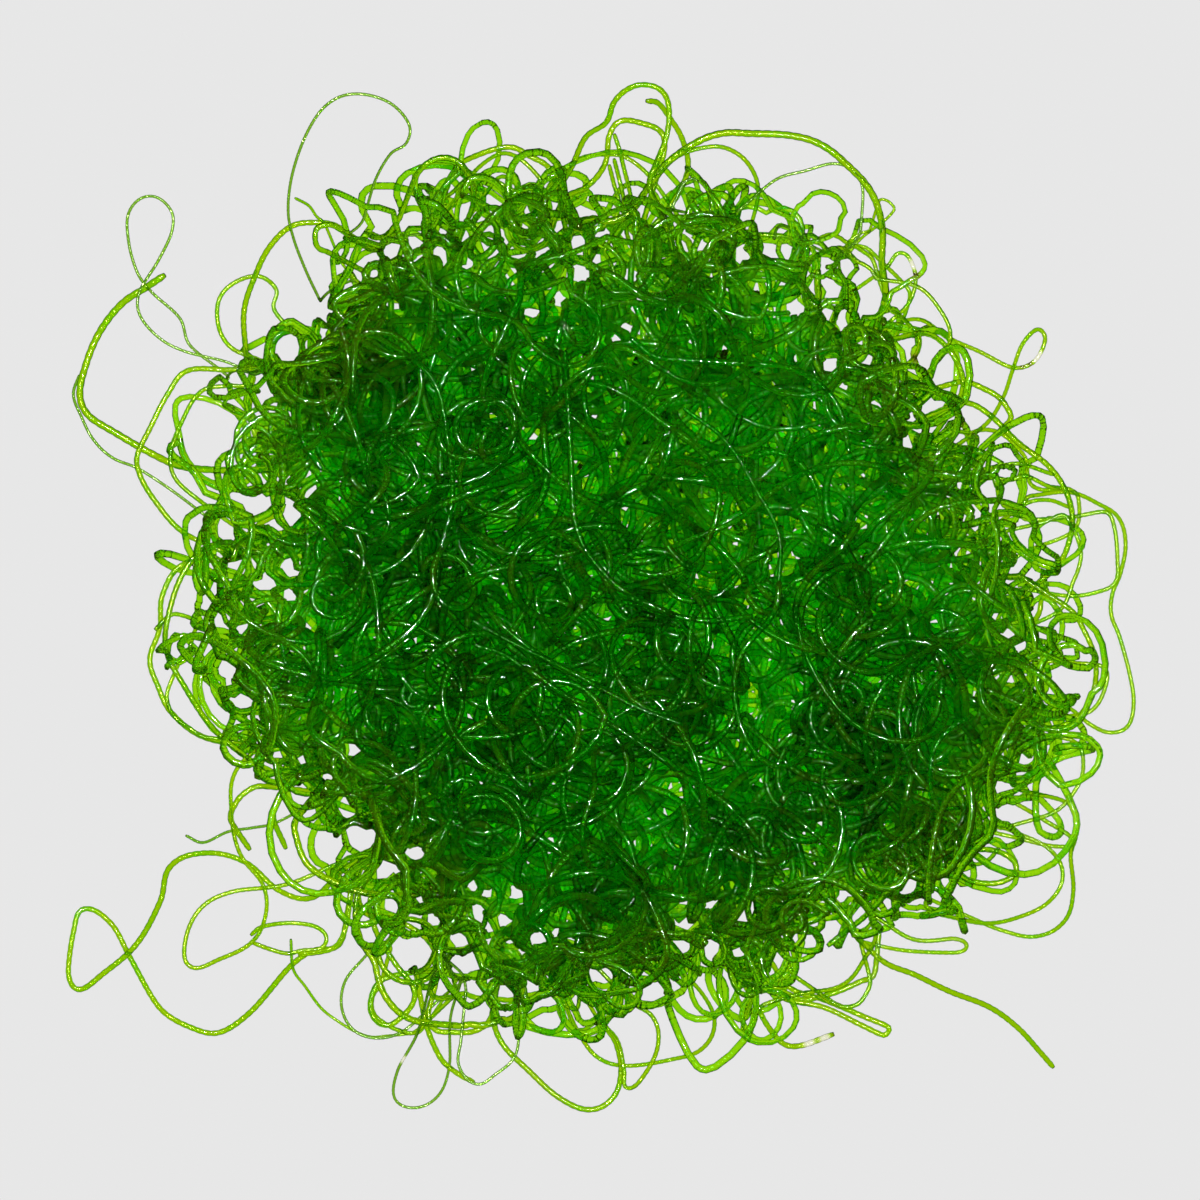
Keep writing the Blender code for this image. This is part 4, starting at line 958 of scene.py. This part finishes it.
class LivingTint:
    """The green of a filament, mixed from pale to deep, the deep green being painted shade for the thick of the tangle;
    uneven along it, paler at its joints, and marked.
    """

    NAME = "living_tint"
    BLEACHED = (0.97, 0.98, 0.72, 1.0)
    SOILED = (0.03, 0.02, 0.01, 1.0)

    @classmethod
    def group(cls) -> bpy.types.NodeTree:
        """The node group, built once."""
        found = bpy.data.node_groups.get(cls.NAME)
        return found or cls._build()

    @classmethod
    def _build(cls) -> bpy.types.NodeTree:
        """Make the group.

        Returns:
            A tree that mixes a pale colour and a deep one that is painted shade, and says how much of the skin is left.
        """
        tree = bpy.data.node_groups.new(cls.NAME, "ShaderNodeTree")
        face = tree.interface
        face.new_socket(name="Along", in_out="INPUT", socket_type="NodeSocketFloat")
        face.new_socket(name="Tone And Shade", in_out="INPUT", socket_type="NodeSocketFloat")
        face.new_socket(name="Joint", in_out="INPUT", socket_type="NodeSocketFloat")
        face.new_socket(name="Mark", in_out="INPUT", socket_type="NodeSocketFloat")
        face.new_socket(name="Pale", in_out="INPUT", socket_type="NodeSocketColor")
        face.new_socket(name="Deep Shade", in_out="INPUT", socket_type="NodeSocketColor")
        face.new_socket(name="Colour", in_out="OUTPUT", socket_type="NodeSocketColor")
        face.new_socket(name="Skin", in_out="OUTPUT", socket_type="NodeSocketFloat")
        given = tree.nodes.new("NodeGroupInput")
        result = tree.nodes.new("NodeGroupOutput")
        patches = noise_node(tree.nodes, 0.21, 1.0)
        patches.noise_dimensions = "1D"
        tree.links.new(given.outputs["Along"], patches.inputs["W"])
        patchy = math_node(tree, "MULTIPLY", math_node(tree, "SUBTRACT", patches.outputs[0], 0.5), 1.1)
        share = math_node(tree, "ADD", given.outputs["Tone And Shade"], patchy)
        share = math_node(tree, "SUBTRACT", share, math_node(tree, "MULTIPLY", given.outputs["Joint"], 0.35))
        mark = given.outputs["Mark"]
        # Towards the deep colour this green is painted shade for the thick of the tangle.
        green = mix_node(tree, share, given.outputs["Pale"], given.outputs["Deep Shade"])
        bleached = mix_node(tree, mark, green, cls.BLEACHED)
        soiled = mix_node(tree, math_node(tree, "MULTIPLY", mark, -1.0), bleached, cls.SOILED)
        tree.links.new(soiled, result.inputs["Colour"])
        skin = math_node(tree, "SUBTRACT", 1.0, math_node(tree, "ABSOLUTE", mark))
        tree.links.new(skin, result.inputs["Skin"])
        return tree


@dataclass(frozen=True)
class WetFilament:
    """The finish of living filaments: see-through green, wet, and jointed into cells."""

    name: str
    # pale is a lone filament's own green; deep is a darker green painted as shade for the thick of the tangle.
    pale: tuple[float, float, float]
    deep: tuple[float, float, float]
    skin: tuple[float, float, float]
    inner_gloss: tuple[float, float, float] = (1.0, 1.0, 1.0)
    clearness: float = 0.993
    bending_of_light: float = 1.4
    skin_bending: float = 1.12
    skin_roughness: float = 0.09
    roughness: float = 0.15
    deep_roughness: float = 0.15
    deep_skin: float = 0.2
    deep_height: float = 0.016
    top_height: float = 0.034
    cell_length: float = 0.85
    cell_height: float = 0.03
    waviness: float = 1.6

    def material(self) -> bpy.types.Material:
        """Make the material.

        Returns:
            A material that reads each filament's distance along and tone.
        """
        made = bpy.data.materials.new(self.name)
        made.use_nodes = True
        tree = made.node_tree
        shader = tree.nodes["Principled BSDF"]
        along = tree.nodes.new("ShaderNodeAttribute")
        along.attribute_name = "along"
        tone_and_shade = tree.nodes.new("ShaderNodeAttribute")
        tone_and_shade.attribute_name = "tone_and_shade"
        relief = tree.nodes.new("ShaderNodeGroup")
        relief.node_tree = CellRelief.group()
        relief.inputs["Cell Length"].default_value = self.cell_length
        relief.inputs["Waviness"].default_value = self.waviness
        tree.links.new(along.outputs["Fac"], relief.inputs["Along"])
        tint = tree.nodes.new("ShaderNodeGroup")
        tint.node_tree = LivingTint.group()
        tint.inputs["Pale"].default_value = (*self.pale, 1.0)
        tint.inputs["Deep Shade"].default_value = (*self.deep, 1.0)
        tree.links.new(along.outputs["Fac"], tint.inputs["Along"])
        tree.links.new(tone_and_shade.outputs["Fac"], tint.inputs["Tone And Shade"])
        mark = tree.nodes.new("ShaderNodeAttribute")
        mark.attribute_name = "mark"
        tree.links.new(mark.outputs["Fac"], tint.inputs["Mark"])
        tree.links.new(relief.outputs["Joint"], tint.inputs["Joint"])
        tree.links.new(tint.outputs["Colour"], shader.inputs["Base Color"])
        bump = tree.nodes.new("ShaderNodeBump")
        bump.inputs["Distance"].default_value = self.cell_height * MM
        tree.links.new(relief.outputs["Height"], bump.inputs["Height"])
        tree.links.new(bump.outputs["Normal"], shader.inputs["Normal"])
        shader.inputs["Roughness"].default_value = self.roughness
        skin = tint.outputs["Skin"]
        if self.deep_roughness != self.roughness:
            skin = math_node(tree, "MULTIPLY", skin, self._cloud_the_depth(tree, shader, tone_and_shade))
        tree.links.new(skin, shader.inputs["Coat Weight"])
        shader.inputs["Metallic"].default_value = 0.0
        shader.inputs["Transmission Weight"].default_value = self.clearness
        shader.inputs["IOR"].default_value = self.bending_of_light
        shader.inputs["Specular Tint"].default_value = (*self.inner_gloss, 1.0)
        shader.inputs["Coat Roughness"].default_value = self.skin_roughness
        shader.inputs["Coat IOR"].default_value = self.skin_bending
        shader.inputs["Coat Tint"].default_value = (*self.skin, 1.0)
        return made

    def _cloud_the_depth(
        self, tree: bpy.types.NodeTree, shader: bpy.types.Node, tone_and_shade: bpy.types.Node,
    ) -> bpy.types.NodeSocket:
        """Let what is deep in the tangle blur the light more than the wet filaments on top, and have less of a skin.

        Args:
            tree: The material's tree.
            shader: Its shader.
            tone_and_shade: The node that gives the filament's tone.

        Returns:
            The output socket that says how much of the skin shows.
        """
        place = tree.nodes.new("ShaderNodeTexCoord")
        split = tree.nodes.new("ShaderNodeSeparateXYZ")
        tree.links.new(place.outputs["Object"], split.inputs[0])
        lowness = tree.nodes.new("ShaderNodeMapRange")
        for name, value in (("From Min", self.deep_height), ("From Max", self.top_height),
                            ("To Min", 1.0), ("To Max", 0.0)):
            lowness.inputs[name].default_value = value
        tree.links.new(split.outputs["Z"], lowness.inputs["Value"])
        sunk = math_node(tree, "MULTIPLY", lowness.outputs["Result"], tone_and_shade.outputs["Fac"])
        blur = math_node(tree, "MULTIPLY", sunk, self.deep_roughness - self.roughness)
        tree.links.new(math_node(tree, "ADD", blur, self.roughness), shader.inputs["Roughness"])
        loss = math_node(tree, "MULTIPLY", sunk, 1.0 - self.deep_skin)
        return math_node(tree, "SUBTRACT", 1.0, loss)


# Each finish's deep colour is a darker green painted as shade for filaments in the thick of the tangle.
LOOSE_FINISH = WetFilament(
    "wet_filament", pale=(0.86, 0.98, 0.03), deep=(0.10, 0.93, 0.01), skin=(0.62, 0.80, 0.14),
    inner_gloss=(0.7, 0.8, 0.6), bending_of_light=1.3,
)
TANGLE_FINISH = WetFilament(
    "tangled_filament", pale=(0.78, 0.98, 0.02), deep=(0.03, 0.855, 0.006), skin=(0.64, 0.885, 0.36),
    inner_gloss=(0.15, 0.6, 0.15), bending_of_light=1.2, skin_bending=1.2, skin_roughness=0.065,
    roughness=0.2, deep_roughness=0.55, cell_length=0.7, cell_height=0.05, waviness=1.7,
)
THIN_FINISH = WetFilament(
    "thin_wet_filament", pale=(0.66, 0.88, 0.22), deep=(0.35, 0.82, 0.10), skin=(0.58, 0.74, 0.34),
    inner_gloss=(0.7, 0.8, 0.6), cell_length=0.6,
)


@dataclass
class Tangle:
    """The dense body of the ball: long filaments that loop through each other in the tangle's form."""

    growth: Growth
    material: bpy.types.Material
    core: Habit = Habit("tangle_core", 30, 150.0, 7.0, overshoot=-8.0, least_depth=12.0)
    heart: Habit = Habit(
        "tangle_heart", 122, 180.0, 6.0, bend_spread=0.5, flatness=0.12, overshoot=0.0, least_depth=2.5,
    )
    heart_pieces: int = 4
    rim: Habit = Habit(
        "tangle_rim", 182, 90.0, 4.6, bend_spread=0.5, flatness=0.15, overshoot=5.2, least_depth=-1.0, most_depth=6.0,
    )
    knots: Habit = Habit("tangle_thickets", 0, 60.0, 2.7, flatness=0.0)
    low: Habit = Habit("tangle_low_strands", 320, 8.0, 5.0, flatness=0.3, overshoot=-1.0, boldness=(0.05, 0.25))
    low_heights: tuple[float, float] = (3.0, 9.0)
    low_depth: float = 8.0
    low_apart: float = 0.6
    gap_cell: float = 0.3
    turn_limit: float = math.radians(15.0)
    longest_step: float = 1.9
    tuck_depth: float = 2.5
    fewest_points: int = 24

    def build(self) -> list[bpy.types.Object]:
        """Grow and mesh the filaments, in several pieces so that none is too large.

        Returns:
            The finished pieces.
        """
        random = self.growth.random
        inner = self._grown(self.core, self._spread_starts(self.core))
        pieces = [self._piece(self.core.name, inner, 0)]
        routes = self._grown(self.heart, self._spread_starts(self.heart))
        share = math.ceil(len(routes) / self.heart_pieces)
        for index in range(self.heart_pieces):
            part = routes[index * share : (index + 1) * share]
            pieces.append(self._piece(f"{self.heart.name}_{index + 1}", part))
        edging = self._grown(self.rim, self._spread_starts(self.rim))
        pieces.append(self._piece(self.rim.name, edging))
        knotted = []
        for knot in THICKETS:
            middle = (knot.x, knot.y, knot.height)
            knotted.append(middle + random.normal(size=(knot.count, 3)) * knot.spread * (0.6, 0.6, 0.8))
        knotted = self._grown(self.knots, np.vstack(knotted))
        pieces.append(self._piece(self.knots.name, knotted))
        gaps = self._gaps((inner, routes, edging, knotted))
        headings = self.growth.random.normal(size=(len(gaps), 3)) * (1.0, 1.0, 0.1)
        forth = self.growth.grow(self.low, gaps, headings)
        back = self.growth.grow(self.low, gaps, -headings)
        # With own at -1 the low strands lose nearly all of the painted shade and keep a lone filament's pale green.
        pieces.append(self._piece(self.low.name, np.concatenate((back[:, :0:-1], forth), axis=1), own=-1.0))
        return pieces

    def _gaps(self, grown: tuple[np.ndarray, ...]) -> np.ndarray:
        """Low places in the thick of the tangle over which no filament passes.

        Args:
            grown: The points of all filaments so far.

        Returns:
            The places, one a row, spread apart.
        """
        form, random = self.growth.form, self.growth.random
        counts = np.ceil((form.high - form.low)[:2] / self.gap_cell).astype(int)
        covered = np.zeros(counts, bool)
        for routes in grown:
            cells = ((routes.reshape(-1, 3) - form.low)[:, :2] / self.gap_cell).astype(int)
            for shift in ((0, 0), (1, 0), (-1, 0), (0, 1), (0, -1)):
                covered[tuple(np.clip(cells + shift, 0, counts - 1).T)] = True
        bare = random.permutation(np.argwhere(~covered))
        plan = (bare + 0.5) * self.gap_cell + form.low[:2]
        places = np.column_stack((plan, random.uniform(*self.low_heights, len(plan))))
        inside, _ = form.openings_at(places, np.full(len(places), self.low.boldness[1]))
        places = places[(form.depth_in_plan(places) > self.low_depth) & (inside < 0.0)]
        found = places[:1]
        for place in places:
            if len(found) < self.low.count and np.linalg.norm((found - place)[:, :2], axis=1).min() > self.low_apart:
                found = np.vstack((found, place))
        return found

    def _grown(self, habit: Habit, starts: np.ndarray) -> np.ndarray:
        """Filaments of one habit from these starts."""
        headings = self.growth.random.normal(size=(len(starts), 3)) * (1.0, 1.0, 0.4)
        return self.growth.grow(habit, starts, headings)

    def _piece(self, name: str, routes: np.ndarray, roundness: int = 1, own: float = 0.0) -> bpy.types.Object:
        """One mesh of many filaments.

        Args:
            name: The piece's name.
            routes: The filaments' points.
            roundness: How round their section is; those deep inside are plainer, and thicker for it.
            own: What is added to all their tones.

        Returns:
            The finished piece.
        """
        random = self.growth.random
        strands = []
        for route in routes:
            route = self._tucked(route)
            if len(route) < self.fewest_points:
                continue
            points = thinned(route, self.turn_limit * (2 - roundness), self.longest_step * (2 - roundness))
            gauge = random.choice((Gauge.USUAL, Gauge.STOUT, Gauge.STOUT)) if roundness else Gauge.STOUT
            radii = np.full(len(points), gauge.radius * random.uniform(0.92, 1.06))
            tones_and_shade = self.growth.form.tones_and_shade(points, own + random.uniform(-0.2, 0.2))
            strands.append(Strand(points, radii, tones_and_shade))
        piece = Tubes(name, strands, roundness, self.material).build()
        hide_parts(MAT_NODE)
        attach(piece, BODY)
        report(piece)
        return piece

    def _tucked(self, route: np.ndarray) -> np.ndarray:
        """The filament without what would leave a bare end in the open fringe.

        Args:
            route: Its points.

        Returns:
            The points from the first to the last that lie well inside the tangle.
        """
        inside = np.flatnonzero(self.growth.form.depth_in_plan(route) > self.tuck_depth)
        return route[inside[0] : inside[-1] + 1] if len(inside) else route[:0]

    def _spread_starts(self, habit: Habit) -> np.ndarray:
        """Places spread evenly through the part of the tangle where this habit starts.

        Args:
            habit: How the filaments grow.

        Returns:
            The places, one a row, each the farthest of a few tries from those before it.
        """
        form = self.growth.form
        found = np.empty((0, 3))
        while len(found) < habit.count:
            tries = self.growth.random.uniform(form.low, form.high, (400, 3))
            distance, _ = form.read(tries)
            inside, _ = form.openings_at(tries, np.ones(len(tries)))
            depth = form.depth_in_plan(tries)
            free = (distance < 0.0) & (inside < 0.0) & (depth > habit.least_depth) & (depth < habit.most_depth)
            tries = tries[free][:12]
            if len(found):
                apart = np.linalg.norm(tries[:, None, :] - found[None, :, :], axis=2).min(axis=1)
                tries = tries[apart.argmax()][None, :]
            found = np.vstack((found, tries[:1]))
        return found


@dataclass
class Runners:
    """The single filaments that stand out of the tangle, lie over it or edge it, with cells of real barrel shape."""

    growth: Growth
    usual: bpy.types.Material
    thin: bpy.types.Material
    tangled: bpy.types.Material
    rings_a_cell: int = 3
    joint_pinch: float = 0.1
    root_reach: float = 3.5
    hidden: Habit = Habit("hidden_end", 0, 14.0, 5.0, overshoot=-1.0)

    def build(self) -> list[bpy.types.Object]:
        """Make every filament that the frame has as a node, and the fringe.

        Returns:
            The finished pieces.
        """
        pieces = []
        for name, (gauge, heights, plan) in RIM_FILAMENTS.items():
            route = self._rooted(rim_route(heights, plan))
            pieces.append(self._node_piece(name, gauge, route, self.thin if gauge is Gauge.THIN else self.usual))
        for name, (gauge, plan) in TOP_FILAMENTS.items():
            pieces.append(self._node_piece(name, gauge, self._over_mat(plan, gauge), self.tangled))
        fringe = []
        for gauge, heights, plan in FRINGE_STRANDS:
            fringe.append(self._beaded(self._rooted(rim_route(heights, plan)), gauge))
        piece = Tubes("fringe", fringe, 2, self.usual).build()
        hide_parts(MAT_NODE)
        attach(piece, BODY)
        report(piece)
        return pieces + [piece]

    def _node_piece(
        self, name: str, gauge: Gauge, route: np.ndarray, material: bpy.types.Material,
    ) -> bpy.types.Object:
        """One filament in place of the frame's plain tube of it.

        Args:
            name: The filament's name, without the node's prefix.
            gauge: Its thickness.
            route: Its points.
            material: Its finish.

        Returns:
            The finished piece.
        """
        piece = Tubes(name, [self._beaded(route, gauge)], 2, material).build()
        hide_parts("filament_" + name)
        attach(piece, BODY)
        report(piece)
        return piece

    def _rooted(self, route: np.ndarray) -> np.ndarray:
        """The route, with each end that meets the tangle grown on into it.

        Args:
            route: The filament's shown points.

        Returns:
            The longer route.
        """
        ends = np.stack((route[0], route[-1]))
        headings = np.stack((route[0] - route[2], route[-1] - route[-3]))
        grown = self.growth.grow(self.hidden, ends, headings)
        meets = self.growth.form.depth_in_plan(ends) > -self.root_reach
        before = grown[0][:0:-1] if meets[0] else route[:0]
        after = grown[1][1:] if meets[1] else route[:0]
        return np.vstack((before, route, after))

    def _over_mat(self, plan: tuple[tuple[float, float], ...], gauge: Gauge) -> np.ndarray:
        """A route that lies on top of the tangle.

        Args:
            plan: The places that it passes over.
            gauge: Its thickness.

        Returns:
            The route's points.
        """
        flat = smooth_route([Vector((x, y, 0.0)) for x, y in plan])
        heights = np.arange(20.0, 44.0, 0.25)
        for point in flat:
            column = np.column_stack((np.full(len(heights), point[0]), np.full(len(heights), point[1]), heights))
            distance, _ = self.growth.form.read(column)
            point[2] = heights[min(int((distance < 0.0).sum()), len(heights) - 1)] + gauge.radius + 0.6
        return flat

    def _beaded(self, route: np.ndarray, gauge: Gauge) -> Strand:
        """A filament whose thickness swells at each cell and narrows at each joint.

        Args:
            route: Its points.
            gauge: Its thickness.

        Returns:
            The filament, with a few rings to a cell.
        """
        cell = gauge.value * 1.35
        points = evenly_spaced(route, cell / self.rings_a_cell)
        phase = np.arange(len(points)) % self.rings_a_cell
        radii = np.where(phase == 0, 1.0 - self.joint_pinch, 1.0) * gauge.radius
        ends = np.minimum(np.arange(len(points)), np.arange(len(points))[::-1])
        radii = radii * np.clip(0.72 + 0.14 * ends, 0.0, 1.0)
        return Strand(points, radii, self.growth.form.tones_and_shade(points, self.growth.random.uniform(0.0, 0.3)))


@dataclass(frozen=True)
class Studio:
    """The pale floor, the lights and the camera that looks straight down."""

    frame_width: float = 0.12
    framed_height: float = 0.012
    camera_height: float = 1.5
    sensor: float = 36.0
    floor_size: float = 6.0
    floor_glow: float = 0.80
    sky_glow: float = 0.006
    lamp_bounces: int = 2

    def build(self) -> None:
        """Set the scene."""
        self._floor()
        self._sky()
        self._lamp("key_light", (-0.22, 0.26, 0.75), 0.09, 36.0)
        self._lamp("top_light", (0.10, -0.06, 0.90), 0.09, 34.0)
        self._camera()
        scene = bpy.context.scene
        scene.view_settings.view_transform = "Standard"
        scene.cycles.max_bounces = 11
        scene.cycles.transmission_bounces = 11
        scene.cycles.glossy_bounces = 4
        scene.cycles.diffuse_bounces = 2
        scene.cycles.caustics_refractive = False
        scene.cycles.caustics_reflective = False

    def _floor(self) -> None:
        """A wide pale floor that glows softly, as over a light table."""
        deselect_all()
        bpy.ops.mesh.primitive_plane_add(size=self.floor_size, location=(0.0, 0.0, -0.0005))
        floor = bpy.context.active_object
        floor.name = "floor"
        made = bpy.data.materials.new("pale_floor")
        made.use_nodes = True
        shader = made.node_tree.nodes["Principled BSDF"]
        shader.inputs["Base Color"].default_value = (0.0, 0.0, 0.0, 1.0)
        shader.inputs["Roughness"].default_value = 1.0
        shader.inputs["Specular IOR Level"].default_value = 0.0
        shader.inputs["Emission Color"].default_value = (1.0, 1.0, 1.0, 1.0)
        shader.inputs["Emission Strength"].default_value = self.floor_glow
        made.cycles.emission_sampling = "NONE"
        floor.data.materials.append(made)
        floor.visible_glossy = False

    def _sky(self) -> None:
        """A dim even surround."""
        world = bpy.data.worlds.new("surround")
        world.use_nodes = True
        back = world.node_tree.nodes["Background"]
        back.inputs["Color"].default_value = (1.0, 1.0, 1.0, 1.0)
        back.inputs["Strength"].default_value = self.sky_glow
        bpy.context.scene.world = world

    def _lamp(self, name: str, place: tuple[float, float, float], size: float, power: float) -> None:
        """A small soft light aimed at the ball.

        Args:
            name: Its name.
            place: Where it hangs, in metres.
            size: Its width in metres.
            power: Its power in watts.
        """
        deselect_all()
        bpy.ops.object.light_add(type="AREA", location=place)
        lamp = bpy.context.active_object
        lamp.name = name
        lamp.data.shape = "DISK"
        lamp.data.size = size
        lamp.data.energy = power
        lamp.data.cycles.max_bounces = self.lamp_bounces
        lamp.rotation_euler = (-Vector(place)).to_track_quat("-Z", "Y").to_euler()

    def _camera(self) -> None:
        """A long lens straight above, with the ball's own plan in its frame."""
        deselect_all()
        bpy.ops.object.camera_add(location=(0.0, 0.0, self.camera_height), rotation=(0.0, 0.0, 0.0))
        camera = bpy.context.active_object
        camera.data.sensor_width = self.sensor
        camera.data.lens = self.sensor * (self.camera_height - self.framed_height) / self.frame_width
        bpy.context.scene.camera = camera


def report(piece: bpy.types.Object) -> None:
    """Log a finished piece and its number of triangles."""
    triangles = sum(len(face.vertices) - 2 for face in piece.data.polygons)
    LOG.info("%s: %d triangles", piece.name, triangles)


def main() -> None:
    """Build the ball, then the studio."""
    logging.basicConfig(level=logging.INFO, format="%(name)s: %(message)s")
    random = np.random.default_rng(41)
    form = MatForm((HOLES, THIN_PLACES, CLEARINGS))
    growth = Growth(form, random)
    tangled = TANGLE_FINISH.material()
    Tangle(growth, tangled).build()
    Runners(growth, LOOSE_FINISH.material(), THIN_FINISH.material(), tangled).build()
    Studio().build()


if __name__ == "__main__":
    main()
